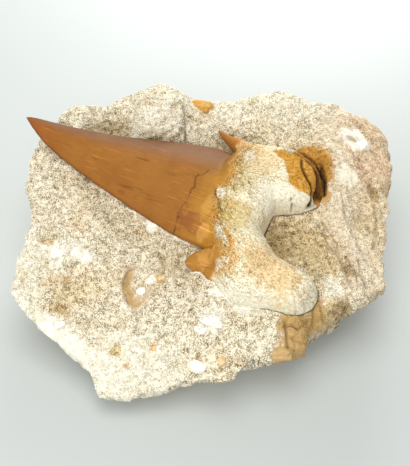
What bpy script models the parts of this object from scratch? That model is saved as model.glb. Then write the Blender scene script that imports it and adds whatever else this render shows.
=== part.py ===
"""Fossil mackerel-shark tooth lying in its block of phosphate sandstone.

The tooth is one grown piece: crown, two side cusplets and a root with two lobes.
It lies with its rounded (lingual) face up, half sunk in the block it was found in.
The block, called the matrix, was prepared from above and stands on a flat facet.

Frame: metres, +Z up, origin in the middle of the footprint on the surface the block
stands on. +X runs along the block's long side and -Y is its low front edge.
"""

import math

import bmesh
import bpy
from mathutils import Matrix, Vector, noise

MM = 0.001
OBJECT_NAME = "shark_tooth_in_matrix"

# ---------------------------------------------------------------- tooth: placing, mm
NECK = Vector((6.5, 5.9, 25.5))      # middle of the crown's foot, level with its edges
TIP = Vector((-45.2, 30.4, 31.3))    # point of the crown
FACE_LEAN = math.radians(12.0)       # the upper face leans this far toward the front

# Crown: distance from the neck toward the tip, far cutting edge, near cutting edge.
CROWN_STATIONS = (
    (57.4, -0.1, 0.1),
    (54.0, -0.9, 2.3),
    (49.0, -1.7, 4.9),
    (43.0, -2.9, 6.9),
    (33.0, -5.4, 9.4),
    (22.0, -9.1, 11.6),
    (12.0, -12.2, 13.3),
    (6.0, -12.8, 13.9),
    (0.0, -11.5, 13.8),
    (-5.0, -9.0, 12.0),
)
CROWN_SECTIONS = 18
CROWN_TOP_RATIO = 0.29               # swell of the upper face over the crown's width
CROWN_BOTTOM_RATIO = 0.10            # the under face is nearly flat
CROWN_EDGE_POWER = 1.7               # 2 gives a knife edge, 1 a round one

# Rounded pieces: distance toward the tip, far side, near side, height, depth.
ROOT_TRUNK_STATIONS = (
    (5.4, -10.0, 4.0, 6.4, 3.0),
    (3.0, -15.2, 8.5, 8.6, 4.0),
    (-1.0, -17.0, 12.5, 9.6, 5.0),
    (-5.0, -16.6, 17.5, 9.4, 5.5),
    (-8.2, -14.0, 18.0, 7.6, 5.5),
    (-9.9, -10.0, 13.0, 4.0, 4.0),
)
FAR_LOBE_STATIONS = (
    (4.0, -16.4, -9.0, 5.0, 3.5),
    (-2.0, -17.5, -3.0, 7.6, 5.0),
    (-7.5, -19.2, -1.0, 8.4, 6.0),
    (-11.5, -18.7, -3.2, 8.4, 6.0),
    (-15.5, -16.8, -5.6, 7.6, 6.0),
    (-17.6, -14.2, -7.4, 5.4, 4.5),
    (-18.9, -12.0, -9.2, 2.2, 2.0),
)
NEAR_LOBE_STATIONS = (
    (-2.0, 5.0, 17.6, 6.6, 4.0),
    (-6.5, 3.6, 21.6, 8.6, 5.5),
    (-11.0, 5.6, 23.6, 8.5, 6.0),
    (-15.5, 9.0, 22.4, 7.4, 6.0),
    (-20.0, 9.8, 21.0, 7.6, 6.0),
    (-25.0, 10.6, 19.9, 6.4, 5.5),
    (-27.5, 12.2, 17.6, 3.8, 3.0),
    (-28.4, 14.0, 16.0, 1.4, 1.2),
)
FAR_CUSPLET_STATIONS = (
    (12.0, -17.8, -17.4, 0.5, 0.3),
    (10.5, -17.4, -16.2, 1.2, 0.7),
    (8.0, -16.8, -14.8, 2.2, 1.2),
    (5.0, -16.8, -13.0, 3.6, 1.8),
    (1.0, -16.0, -11.0, 4.2, 2.2),
)
NEAR_CUSPLET_STATIONS = (
    (3.4, 18.3, 18.9, 0.5, 0.4),
    (2.4, 16.3, 19.6, 1.5, 0.8),
    (0.6, 14.2, 20.0, 2.6, 1.2),
    (-1.4, 12.5, 19.3, 3.2, 1.6),
    (-3.4, 11.5, 20.4, 3.6, 2.0),
    (-6.5, 11.0, 20.5, 4.4, 2.6),
)
ROUND_SECTIONS = 9
ROUND_SQUARENESS = 2.4               # 2 is an ellipse, more is boxier
RING_POINTS = 20

FUSE_VOXEL = 0.9                     # grid that fuses the root's trunk and lobes
FUSE_SMOOTHING = 8
ROOT_FACE_SHARE = 0.17               # of the fused faces, those kept
POCKET_VOXEL = 0.6                   # grid that evens out the pocket's cutter
POCKET_FACE_SHARE = 0.07
POCKET_GAP = 0.55                    # how far the pocket's cutter stands off the tooth

# ------------------------------------------------------------- matrix: outline, mm
# Widest line of the block, anticlockwise from the right: x, y and height of the edge.
RIM = (
    (45.2, 11.8, 20.5), (46.6, 17.8, 21.5), (47.2, 22.5, 22.6), (46.2, 28.0, 24.0),
    (44.7, 31.3, 24.7), (41.2, 34.1, 25.8), (36.5, 36.0, 27.0), (33.3, 37.6, 27.6),
    (27.5, 37.2, 28.5), (23.2, 39.0, 29.8), (19.0, 39.6, 31.0), (11.0, 38.2, 29.4),
    (4.5, 37.3, 28.8), (-2.7, 37.8, 30.0), (-6.8, 39.2, 32.0), (-11.0, 39.5, 33.6),
    (-15.2, 39.5, 32.4), (-20.3, 38.5, 30.0), (-26.0, 36.9, 28.6), (-34.3, 36.8, 28.2),
    (-36.5, 34.8, 27.8), (-42.0, 26.1, 26.3), (-43.9, 20.6, 24.2), (-44.7, 14.5, 22.4),
    (-42.3, 8.3, 20.5), (-42.5, 4.5, 20.0), (-43.5, -1.5, 19.2), (-45.3, -9.0, 18.4),
    (-45.6, -14.9, 17.2), (-42.3, -17.8, 14.2), (-36.9, -22.7, 11.2), (-27.2, -29.6, 8.0),
    (-24.4, -36.0, 6.3), (-17.6, -36.7, 5.6), (-8.2, -35.3, 8.0), (-6.2, -33.9, 8.6),
    (0.0, -34.6, 11.0), (5.8, -35.1, 12.4), (9.8, -30.9, 12.9), (18.0, -30.8, 13.1),
    (23.0, -27.6, 13.7), (24.6, -23.8, 14.3), (29.4, -21.1, 15.0), (34.9, -18.6, 16.0),
    (42.5, -13.6, 17.8), (42.2, -7.7, 18.4), (43.9, 2.8, 19.3),
)
ORIGIN_SHIFT = Vector((0.6, 1.7, 0.0))   # puts the origin in the middle of the footprint

ICOSPHERE_LEVEL = 5
RIM_LATITUDE = -0.22                 # sphere latitude that becomes the rim
RIM_CATCH = 0.012                    # points this near the rim's latitude are put on the rim
RIM_CRISPNESS = 14.0                 # higher turns the top over more sharply at the rim

# --------------------------------------------------------------- matrix: upper face, mm
TOP_HEIGHT = 24.2                    # height of the upper face over the origin
TOP_RISE = 0.176                     # rise toward the back, per unit of length
CREASE = (
    (-48.0, -1.0), (-34.6, -7.0), (-17.4, -17.0), (8.1, -19.6), (22.0, -22.5), (46.0, -17.0),
)
APRON_SLOPE = 0.42                   # extra fall in front of the crease
BUMPS = (
    # x, y, reach along x, reach along y, height
    (-11.2, 32.5, 7.0, 9.0, 5.6),    # squarish lump behind the crown
    (19.0, 36.5, 13.0, 6.0, 1.8),    # ridge along the back
    (-1.5, 36.0, 3.0, 3.0, 1.0),     # bone chip at the back edge
    (-27.0, 33.0, 7.0, 4.5, -3.0),   # hollow behind the crown
    (-4.0, 24.0, 15.0, 4.0, -2.4),   # trough along the crown's far edge
    (21.5, -3.0, 9.0, 7.0, -4.0),    # hollow in the notch between the root's lobes
    (44.0, 4.0, 9.0, 24.0, -2.4),    # right side falls away
    (33.0, -4.0, 3.0, 7.0, 1.2),     # small ridge right of the root
    (29.5, 17.5, 4.5, 6.5, 1.8),     # rusty collar round the end of the far lobe
    (-14.7, -15.0, 3.4, 4.2, -1.6),  # oval pit with a scrap of bone
    (-12.2, -12.4, 1.8, 1.8, 1.0),   # knob beside the pit
    (14.5, -29.5, 3.4, 2.6, 1.3),    # pale knob at the front edge
    (24.5, -22.5, 6.0, 4.0, -1.2),   # sunk brown patch at the front right
    (4.0, -1.0, 12.0, 9.0, -1.2),    # bowl dug round the near cusplet
)
BUMP_FLATNESS = 2.4                  # 2 is a bell, more has a flatter crown

# ------------------------------------------------------- matrix: underside and roughness
# Flat faces that the underside broke along: direction in degrees, distance of the
# face's foot from the origin, and rise of the face per unit of length outward.
UNDER_FACES = (
    (2.0, 24.0, 0.85), (48.0, 33.0, 1.35), (88.0, 29.0, 2.90), (124.0, 31.0, 1.70),
    (168.0, 25.0, 0.95), (207.0, 21.0, 0.55), (248.0, 33.0, 0.70), (286.0, 23.0, 0.90),
    (324.0, 21.0, 0.72),
)
BLUNT_BAND = 2.2                     # height of the blunt edge under the rim
BLUNT_SHARE = 0.02                   # of the radius, over which the edge drops away
UNDERSIDE_FLOOR = -3.0               # the underside stops here, and the cut takes it off
LUMP_SIZE = 9.0
LUMP_HEIGHT = 0.75
UNDERSIDE_LUMP_HEIGHT = 1.3
RAGGED_SIZE = 5.0
RAGGED_SHARE = 0.010                 # of the radius

# ------------------------------------------------------------------------ finishes
TOOTH_COLOUR = (0.43, 0.17, 0.055, 1.0)
TOOTH_ROUGHNESS = 0.35
MATRIX_COLOUR = (0.68, 0.58, 0.43, 1.0)
MATRIX_ROUGHNESS = 0.95


def clear_scene():
    """Remove every object that the file starts with."""
    for item in list(bpy.data.objects):
        bpy.data.objects.remove(item, do_unlink=True)


def make_collection(name):
    """Add a collection to the scene."""
    collection = bpy.data.collections.new(name)
    bpy.context.scene.collection.children.link(collection)
    return collection


def make_material(name, colour, roughness):
    """Make a plain, non-metallic Principled material."""
    material = bpy.data.materials.new(name)
    material.use_nodes = True
    shader = material.node_tree.nodes["Principled BSDF"]
    shader.inputs["Base Color"].default_value = colour
    shader.inputs["Roughness"].default_value = roughness
    shader.inputs["Metallic"].default_value = 0.0
    return material


def make_object(name, mesh_builder, collection):
    """Put a bmesh in a new mesh object, in metres, and link it."""
    bmesh.ops.recalc_face_normals(mesh_builder, faces=mesh_builder.faces)
    bmesh.ops.scale(mesh_builder, vec=(MM, MM, MM), verts=mesh_builder.verts)
    mesh = bpy.data.meshes.new(name)
    mesh_builder.to_mesh(mesh)
    mesh_builder.free()
    item = bpy.data.objects.new(name, mesh)
    collection.objects.link(item)
    return item


# --------------------------------------------------------------------------- tooth
def tooth_frame():
    """Matrix from tooth space (toward the tip, toward the front, up) to the world."""
    along = (TIP - NECK).normalized()
    upright = Vector((0.0, -math.sin(FACE_LEAN), math.cos(FACE_LEAN)))
    normal = (upright - upright.dot(along) * along).normalized()
    across = normal.cross(along)
    axes = Matrix((along, across, normal)).transposed()
    return Matrix.Translation(NECK - ORIGIN_SHIFT) @ axes.to_4x4()


def station_at(stations, place):
    """Smooth (Catmull-Rom) reading of a station table, place running from 0 to 1."""
    last = len(stations) - 1
    spot = place * last
    index = min(int(spot), last - 1)
    share = spot - index
    before = stations[max(index - 1, 0)]
    here = stations[index]
    after = stations[index + 1]
    beyond = stations[min(index + 2, last)]
    values = []
    for a, b, c, d in zip(before, here, after, beyond):
        bend = 2 * a - 5 * b + 4 * c - d
        twist = 3 * (b - c) + d - a
        values.append(0.5 * (2 * b + (c - a) * share + bend * share ** 2 + twist * share ** 3))
    return values


def add_ring(builder, section):
    """Add one closed section, given as points (toward the tip, toward the front, up)."""
    ring = bmesh.ops.create_circle(builder, segments=len(section), radius=1.0)["verts"]
    for vertex, point in zip(ring, section):
        vertex.co = point
    return ring


def loft(builder, sections):
    """Join a row of closed sections into one capped skin."""
    rings = [add_ring(builder, section) for section in sections]
    loops = [[edge for edge in builder.edges if edge.verts[0] in ring] for ring in rings]
    for first, second in zip(loops, loops[1:]):
        bmesh.ops.bridge_loops(builder, edges=first + second)
    bmesh.ops.contextual_create(builder, geom=rings[0])
    bmesh.ops.contextual_create(builder, geom=rings[-1])


def crown_section(station):
    """Lens section of the crown: knife edges, swollen above, nearly flat below."""
    place, far, near = station
    width = near - far
    points = []
    for index in range(RING_POINTS):
        angle = 2 * math.pi * index / RING_POINTS
        swell = abs(math.sin(angle)) ** CROWN_EDGE_POWER
        ratio = CROWN_TOP_RATIO if math.sin(angle) > 0 else -CROWN_BOTTOM_RATIO
        across = (near + far) / 2 + width / 2 * math.cos(angle)
        points.append(Vector((place, across, width * ratio * swell)))
    return points


def round_section(station):
    """Rounded, slightly boxy section of a root lobe or cusplet."""
    place, far, near, height, depth = station
    power = 2 / ROUND_SQUARENESS
    points = []
    for index in range(RING_POINTS):
        angle = 2 * math.pi * index / RING_POINTS
        side = math.copysign(abs(math.cos(angle)) ** power, math.cos(angle))
        rise = abs(math.sin(angle)) ** power
        reach = height if math.sin(angle) > 0 else -depth
        across = (near + far) / 2 + (near - far) / 2 * side
        points.append(Vector((place, across, reach * rise)))
    return points


def add_lofted_piece(builder, stations, count, make_section):
    """Loft a piece through `count` sections read smoothly from its stations."""
    sections = []
    for index in range(count):
        sections.append(make_section(station_at(stations, index / (count - 1))))
    loft(builder, sections)


def hide_cutter(item):
    """Mark an object as a cutter or tool shape, which isn't a part itself."""
    item.hide_render = True
    item.display_type = "WIRE"


def build_root_shape(collection):
    """Fuse the root's trunk and its two lobes into one rounded form."""
    builder = bmesh.new()
    for stations in (ROOT_TRUNK_STATIONS, FAR_LOBE_STATIONS, NEAR_LOBE_STATIONS):
        add_lofted_piece(builder, stations, ROUND_SECTIONS, round_section)
    bmesh.ops.transform(builder, matrix=tooth_frame(), verts=builder.verts)
    root = make_object("root_form", builder, collection)
    fuse = root.modifiers.new("fuse", "REMESH")
    fuse.mode = "VOXEL"
    fuse.voxel_size = FUSE_VOXEL * MM
    smooth = root.modifiers.new("smooth", "SMOOTH")
    smooth.iterations = FUSE_SMOOTHING
    thin = root.modifiers.new("thin", "DECIMATE")
    thin.ratio = ROOT_FACE_SHARE
    hide_cutter(root)
    return root


def build_cusplet_shape(name, stations, collection):
    """Loft one side cusplet."""
    builder = bmesh.new()
    add_lofted_piece(builder, stations, ROUND_SECTIONS, round_section)
    bmesh.ops.transform(builder, matrix=tooth_frame(), verts=builder.verts)
    cusplet = make_object(name, builder, collection)
    hide_cutter(cusplet)
    return cusplet


def build_tooth(collection, tool_shapes):
    """Build the tooth as one grown piece: the crown, joined to its root and cusplets."""
    builder = bmesh.new()
    add_lofted_piece(builder, CROWN_STATIONS, CROWN_SECTIONS, crown_section)
    bmesh.ops.transform(builder, matrix=tooth_frame(), verts=builder.verts)
    tooth = make_object("tooth", builder, collection)
    grown_forms = (
        build_root_shape(tool_shapes),
        build_cusplet_shape("far_cusplet_form", FAR_CUSPLET_STATIONS, tool_shapes),
        build_cusplet_shape("near_cusplet_form", NEAR_CUSPLET_STATIONS, tool_shapes),
    )
    for form in grown_forms:
        join = tooth.modifiers.new(form.name, "BOOLEAN")
        join.operation = "UNION"
        join.solver = "EXACT"
        join.object = form
    tooth.data.materials.append(make_material("fossil_tooth", TOOTH_COLOUR, TOOTH_ROUGHNESS))
    return tooth


def build_pocket_cutter(tooth, collection):
    """Make the shape of the hole the tooth lies in: the tooth, swollen by the gap."""
    shape = tooth.evaluated_get(bpy.context.evaluated_depsgraph_get())
    cutter = bpy.data.objects.new("tooth_pocket", bpy.data.meshes.new_from_object(shape))
    collection.objects.link(cutter)
    swell = cutter.modifiers.new("swell", "DISPLACE")
    swell.direction = "NORMAL"
    swell.mid_level = 0.0
    swell.strength = POCKET_GAP * MM
    even = cutter.modifiers.new("even", "REMESH")
    even.mode = "VOXEL"
    even.voxel_size = POCKET_VOXEL * MM
    thin = cutter.modifiers.new("thin", "DECIMATE")
    thin.ratio = POCKET_FACE_SHARE
    hide_cutter(cutter)
    return cutter


# -------------------------------------------------------------------------- matrix
def rim_at(angle):
    """Radius and height of the rim in a direction from the middle."""
    heading = Vector((math.cos(angle), math.sin(angle)))
    for index, start in enumerate(RIM):
        end = RIM[(index + 1) % len(RIM)]
        first = Vector(start[:2]) - ORIGIN_SHIFT.xy
        second = Vector(end[:2]) - ORIGIN_SHIFT.xy
        run = second - first
        turn = heading.cross(run)
        if abs(turn) < 1e-9:
            continue
        radius = first.cross(run) / turn
        share = first.cross(heading) / turn
        if radius > 0 and 0 <= share <= 1:
            return radius, start[2] + (end[2] - start[2]) * share
    raise ValueError("the rim doesn't enclose the origin")


def under_height(x, y):
    """Height of the broken faces underneath, measured from the block's own middle."""
    rises = []
    for degrees, foot, slope in UNDER_FACES:
        angle = math.radians(degrees)
        rises.append(slope * (x * math.cos(angle) + y * math.sin(angle) - foot))
    return max(rises)


def crease_y(x):
    """Front-to-back place of the crease in the upper face."""
    for (x0, y0), (x1, y1) in zip(CREASE, CREASE[1:]):
        if x <= x1:
            share = max(0.0, (x - x0) / (x1 - x0))
            return y0 + (y1 - y0) * share
    return CREASE[-1][1]


def top_height(x, y):
    """Height of the upper face, before its edge turns over."""
    height = TOP_HEIGHT + TOP_RISE * y
    height -= APRON_SLOPE * max(0.0, crease_y(x) - y)
    for centre_x, centre_y, reach_x, reach_y, rise in BUMPS:
        away = math.hypot((x - centre_x) / reach_x, (y - centre_y) / reach_y)
        height += rise * math.exp(-away ** BUMP_FLATNESS)
    return height


def matrix_point(direction):
    """Place on the block's skin for a direction on the unit sphere."""
    angle = math.atan2(direction.y, direction.x)
    radius, rim_height = rim_at(angle)
    ragged = noise.noise(Vector((math.cos(angle), math.sin(angle), 0.3)) * radius / RAGGED_SIZE)
    radius *= 1.0 + RAGGED_SHARE * ragged
    latitude = direction.z
    if abs(latitude - RIM_LATITUDE) < RIM_CATCH:
        latitude = RIM_LATITUDE
    if latitude >= RIM_LATITUDE:
        level = (latitude - RIM_LATITUDE) / (1.0 - RIM_LATITUDE)
        share = math.sqrt(1.0 - level)
        x = share * radius * math.cos(angle) + ORIGIN_SHIFT.x
        y = share * radius * math.sin(angle) + ORIGIN_SHIFT.y
        turned = math.sqrt(1.0 - share ** RIM_CRISPNESS)
        height = rim_height + (top_height(x, y) - rim_height) * turned
        lumps = noise.fractal(Vector((x, y, height)) / LUMP_SIZE, 1.0, 2.0, 3)
        height += LUMP_HEIGHT * lumps * turned
    else:
        level = (RIM_LATITUDE - latitude) / (1.0 + RIM_LATITUDE)
        share = math.sqrt(max(0.0, 1.0 - level))
        x = share * radius * math.cos(angle) + ORIGIN_SHIFT.x
        y = share * radius * math.sin(angle) + ORIGIN_SHIFT.y
        inward = min(1.0, (1.0 - share) / BLUNT_SHARE)
        blunt_height = rim_height - BLUNT_BAND * math.sqrt(inward)
        height = under_height(x - ORIGIN_SHIFT.x, y - ORIGIN_SHIFT.y)
        lumps = noise.fractal(Vector((x, y, height)) / LUMP_SIZE, 1.0, 2.0, 3)
        height += UNDERSIDE_LUMP_HEIGHT * lumps
        height = max(min(height, blunt_height), UNDERSIDE_FLOOR)
    return Vector((x, y, height)) - ORIGIN_SHIFT


def build_matrix(collection, cutter):
    """Build the block of rock, with the pocket that the tooth lies in."""
    builder = bmesh.new()
    bmesh.ops.create_icosphere(builder, subdivisions=ICOSPHERE_LEVEL, radius=1.0)
    for vertex in builder.verts:
        vertex.co = matrix_point(vertex.co.normalized())
    everything = builder.verts[:] + builder.edges[:] + builder.faces[:]
    cut = bmesh.ops.bisect_plane(builder, geom=everything, dist=1e-4, plane_co=(0, 0, 0),
                                 plane_no=(0, 0, 1), clear_inner=True)["geom_cut"]
    rim_of_cut = [item for item in cut if isinstance(item, bmesh.types.BMEdge)]
    bmesh.ops.holes_fill(builder, edges=rim_of_cut, sides=0)
    matrix = make_object("matrix", builder, collection)
    pocket = matrix.modifiers.new("pocket", "BOOLEAN")
    pocket.operation = "DIFFERENCE"
    pocket.solver = "EXACT"
    pocket.object = cutter
    matrix.data.materials.append(make_material("matrix_stone", MATRIX_COLOUR, MATRIX_ROUGHNESS))
    return matrix


def main():
    """Build the tooth, its pocket and the block."""
    clear_scene()
    parts = make_collection(OBJECT_NAME)
    cutters = make_collection("cutters")
    tooth = build_tooth(parts, cutters)
    cutter = build_pocket_cutter(tooth, cutters)
    build_matrix(parts, cutter)


if __name__ == "__main__":
    main()
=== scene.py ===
"""Looks of a fossil mackerel-shark tooth lying half sunk in a block of phosphate sandstone.

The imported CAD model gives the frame: +X runs along the block with the tooth's point toward
-X, -Y is the block's low front edge and +Z is up. Forms are shaped in millimetres and put
in place in metres.
"""

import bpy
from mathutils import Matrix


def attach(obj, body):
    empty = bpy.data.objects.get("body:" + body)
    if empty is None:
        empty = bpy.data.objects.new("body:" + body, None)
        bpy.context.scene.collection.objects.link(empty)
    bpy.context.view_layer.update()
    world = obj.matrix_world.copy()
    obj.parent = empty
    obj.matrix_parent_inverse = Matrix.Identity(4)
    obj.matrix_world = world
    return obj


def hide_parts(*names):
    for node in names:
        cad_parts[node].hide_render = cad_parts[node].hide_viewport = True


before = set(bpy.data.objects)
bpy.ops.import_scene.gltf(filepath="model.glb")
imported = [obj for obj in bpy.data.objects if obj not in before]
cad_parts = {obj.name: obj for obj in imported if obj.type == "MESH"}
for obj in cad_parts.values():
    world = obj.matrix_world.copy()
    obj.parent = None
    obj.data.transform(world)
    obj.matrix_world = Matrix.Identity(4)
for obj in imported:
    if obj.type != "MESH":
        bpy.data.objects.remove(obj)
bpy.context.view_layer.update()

import logging
import math
import random
from collections.abc import Callable, Iterable, Sequence
from dataclasses import dataclass, field
from enum import Enum
from typing import Any

import bmesh
import bpy
from mathutils import Matrix, Vector, noise
from mathutils.bvhtree import BVHTree

LOG = logging.getLogger("shark_tooth")
MM = 0.001
BODY = "root"
MULTIPLY = {"data_type": "RGBA", "blend_type": "MULTIPLY"}
SURVEY_SHIFT = (0.6, 1.7, 0.0)     # mm from the part's origin back to the survey mark

Colour = tuple[float, float, float]
Place = tuple[float, float]
Socket = bpy.types.NodeSocket


# ------------------------------------------------------------------------ small tools
def linear(code: str) -> Colour:
    """Turn an sRGB hex colour into linear values.

    Args:
        code: the colour as "#RRGGBB".

    Returns:
        Linear red, green and blue.
    """
    channels = []
    for start in (1, 3, 5):
        value = int(code[start:start + 2], 16) / 255
        channels.append(value / 12.92 if value <= 0.04045 else ((value + 0.055) / 1.055) ** 2.4)
    return tuple(channels)


def blend(first: Sequence[float], second: Sequence[float], share: float) -> Colour:
    """Mix two colours; share 0 gives the first and 1 the second."""
    return tuple(a + (b - a) * share for a, b in zip(first, second))


def fade(value: float, start: float, end: float) -> float:
    """Rise smoothly from 0 at start to 1 at end, which may lie on either side."""
    share = min(1.0, max(0.0, (value - start) / (end - start)))
    return share * share * (3.0 - 2.0 * share)


def grit(point: Vector, size: float, octaves: int = 3) -> float:
    """Read fractal noise, about -1 to 1, whose coarsest lumps are `size` mm apart."""
    return noise.fractal(point / size, 1.0, 2.0, octaves)


def reading(table: Sequence[Sequence[float]], at: float) -> float:
    """Read a table of (place, value) rows in rising order of place, with straight runs.

    Args:
        table: rows of two numbers.
        at: the place to read.

    Returns:
        The value there.
    """
    if at <= table[0][0]:
        return table[0][1]
    for (x0, y0), (x1, y1) in zip(table, table[1:]):
        if at <= x1:
            return y0 + (y1 - y0) * (at - x0) / (x1 - x0)
    return table[-1][1]


def distance_to_route(x: float, y: float, route: Sequence[Place]) -> float:
    """Measure how far a point lies from a line of straight runs.

    Args:
        x, y: the point, in mm.
        route: the line's corners.

    Returns:
        The distance in mm.
    """
    nearest = math.inf
    for (x0, y0), (x1, y1) in zip(route, route[1:]):
        run_x, run_y = x1 - x0, y1 - y0
        share = ((x - x0) * run_x + (y - y0) * run_y) / (run_x * run_x + run_y * run_y)
        share = min(1.0, max(0.0, share))
        nearest = min(nearest, math.hypot(x - x0 - share * run_x, y - y0 - share * run_y))
    return nearest


def enclosed(x: float, y: float, outline: Sequence[Place]) -> bool:
    """Tell whether a point lies inside a closed outline.

    Args:
        x, y: the point, in mm.
        outline: its corners.

    Returns:
        True inside it.
    """
    inside = False
    for (x0, y0), (x1, y1) in zip(outline, (*outline[1:], outline[0])):
        if (y0 > y) != (y1 > y) and x < x0 + (x1 - x0) * (y - y0) / (y1 - y0):
            inside = not inside
    return inside


def smooth_station(stations: Sequence[Sequence[float]], place: float) -> list[float]:
    """Read a station table along a smooth (Catmull-Rom) curve.

    Args:
        stations: rows of numbers along the form.
        place: 0 at the first row, 1 at the last.

    Returns:
        One row of numbers.
    """
    last = len(stations) - 1
    index = min(int(place * last), last - 1)
    share = place * last - index
    rows = (stations[max(index - 1, 0)], stations[index], stations[index + 1],
            stations[min(index + 2, last)])
    values = []
    for a, b, c, d in zip(*rows):
        bend = 2 * a - 5 * b + 4 * c - d
        twist = 3 * (b - c) + d - a
        values.append(0.5 * (2 * b + (c - a) * share + bend * share ** 2 + twist * share ** 3))
    return values


def loft(builder: bmesh.types.BMesh, sections: Iterable[Sequence[Vector]]) -> None:
    """Join a row of closed sections into one skin with capped ends.

    Args:
        builder: the bmesh to add to.
        sections: rings of the same number of points.
    """
    rings, loops = [], []
    for section in sections:
        ring = bmesh.ops.create_circle(builder, segments=len(section), radius=1.0)["verts"]
        for vertex, point in zip(ring, section):
            vertex.co = point
        rings.append(ring)
        loops.append(list({edge for vertex in ring for edge in vertex.link_edges}))
    for first, second in zip(loops, loops[1:]):
        bmesh.ops.bridge_loops(builder, edges=first + second)
    for ring in (rings[0], rings[-1]):
        bmesh.ops.contextual_create(builder, geom=ring)


def new_object(name: str, builder: bmesh.types.BMesh) -> bpy.types.Object:
    """Put a bmesh in a new object in the scene and free the bmesh.

    Args:
        name: the object's name.
        builder: its shape, in metres.

    Returns:
        The object.
    """
    mesh = bpy.data.meshes.new(name)
    builder.to_mesh(mesh)
    builder.free()
    piece = bpy.data.objects.new(name, mesh)
    bpy.context.scene.collection.objects.link(piece)
    return piece


def fused(builder: bmesh.types.BMesh, voxel: float) -> bmesh.types.BMesh:
    """Fuse overlapping closed skins into one.

    Args:
        builder: the skins; it is freed.
        voxel: grid size, in the same unit as the skins.

    Returns:
        A new bmesh with one even skin.
    """
    bmesh.ops.recalc_face_normals(builder, faces=builder.faces)
    shape = new_object("fusing", builder)
    fuse = shape.modifiers.new("fuse", "REMESH")
    fuse.mode = "VOXEL"
    fuse.voxel_size = voxel
    result = bmesh.new()
    result.from_object(shape, bpy.context.evaluated_depsgraph_get())
    bpy.data.objects.remove(shape, do_unlink=True)
    return result


def smoothed(builder: bmesh.types.BMesh, verts: Sequence[bmesh.types.BMVert], rounds: int) -> None:
    """Relax some vertices toward their neighbours a number of times.

    Args:
        builder: the bmesh.
        verts: the vertices to move.
        rounds: how often.
    """
    for _ in range(rounds):
        bmesh.ops.smooth_vert(builder, verts=verts, factor=0.5, use_axis_x=True,
                              use_axis_y=True, use_axis_z=True)


def paint(piece: bpy.types.Object, name: str, kind: str, values: Sequence[Any]) -> None:
    """Store one value per vertex on a piece.

    Args:
        piece: the object.
        name: the attribute's name.
        kind: FLOAT, FLOAT_VECTOR or FLOAT_COLOR.
        values: numbers, or rows of three numbers.
    """
    store = piece.data.attributes.new(name, kind, "POINT")
    if kind == "FLOAT":
        store.data.foreach_set("value", list(values))
    elif kind == "FLOAT_VECTOR":
        store.data.foreach_set("vector", [number for row in values for number in row])
    else:
        flat = [number for row in values for number in (*row, 1.0)]
        store.data.foreach_set("color", flat)


def add_node(tree: bpy.types.NodeTree, kind: str, inputs: dict[Any, Any] | None = None,
             **settings: Any) -> bpy.types.Node:
    """Add a node with its settings and its inputs.

    Args:
        tree: the node tree.
        kind: the node's type name, after its ShaderNode.
        inputs: value or output socket to link, by input name or number.
        settings: properties of the node.

    Returns:
        The node.
    """
    node = tree.nodes.new("ShaderNode" + kind)
    for name, value in settings.items():
        setattr(node, name, value)
    for name, value in (inputs or {}).items():
        if isinstance(value, Socket):
            tree.links.new(value, node.inputs[name])
        else:
            node.inputs[name].default_value = value
    return node


def start_material(name: str, sockets: dict[str, Any]) -> tuple[
        bpy.types.Material, bpy.types.NodeTree, bpy.types.Node]:
    """Start a material.

    Args:
        name: what the real material is.
        sockets: the shader's uniform values, by socket name.

    Returns:
        The material, its nodes and its shader.
    """
    material = bpy.data.materials.new(name)
    material.use_nodes = True
    shader = material.node_tree.nodes["Principled BSDF"]
    for socket, value in sockets.items():
        shader.inputs[socket].default_value = value
    return material, material.node_tree, shader


def ramp_stops(ramp: bpy.types.Node, stops: Sequence[tuple[float, Sequence[float]]]) -> None:
    """Set the stops of a Color Ramp node from (place, colour) rows.

    Args:
        ramp: the node.
        stops: its stops, in rising order.
    """
    elements = ramp.color_ramp.elements
    while len(elements) > 1:
        elements.remove(elements[-1])
    elements[0].position = stops[0][0]
    elements[0].color = (*stops[0][1][:3], 1.0)
    for place, colour in stops[1:]:
        elements.new(place).color = (*colour[:3], 1.0)


def grey(value: float) -> Colour:
    """Give a grey as a colour."""
    return (value, value, value)


# --------------------------------------------------------------------------- pigments
class Pigment(Enum):
    """Colours found in the fossil and its rock, as sRGB."""

    AMBER = "#9C662A"
    GOLD = "#B4812E"
    # painted shade and sheen for the far half of the crown, not a colour of the enamel
    FAR_HALF_SHADE_AND_SHEEN = "#7A5231"
    RUST = "#92522A"
    OXBLOOD = "#6A3419"
    HONEY = "#DDA659"
    CREAM = "#F4EED3"
    IVORY = "#FBF6E4"
    STRAW = "#D6C083"
    TAN = "#EACB98"
    OCHRE = "#CC993E"
    CRACK = "#2E1A10"
    SAND = "#F6F1E3"
    PALE_SAND = "#FBF9EC"
    WARM_SAND = "#F5EAD4"
    ROSE_SAND = "#EDD6BC"
    GREY_SAND = "#CDBE9C"
    BROWN_SAND = "#E3D2AC"
    CHALK = "#F7F4EA"
    IRON = "#D3A14C"
    CLAY = "#CAA971"
    DUN = "#B59D74"

    @property
    def rgb(self) -> Colour:
        """The pigment's linear colour."""
        return linear(self.value)


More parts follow.
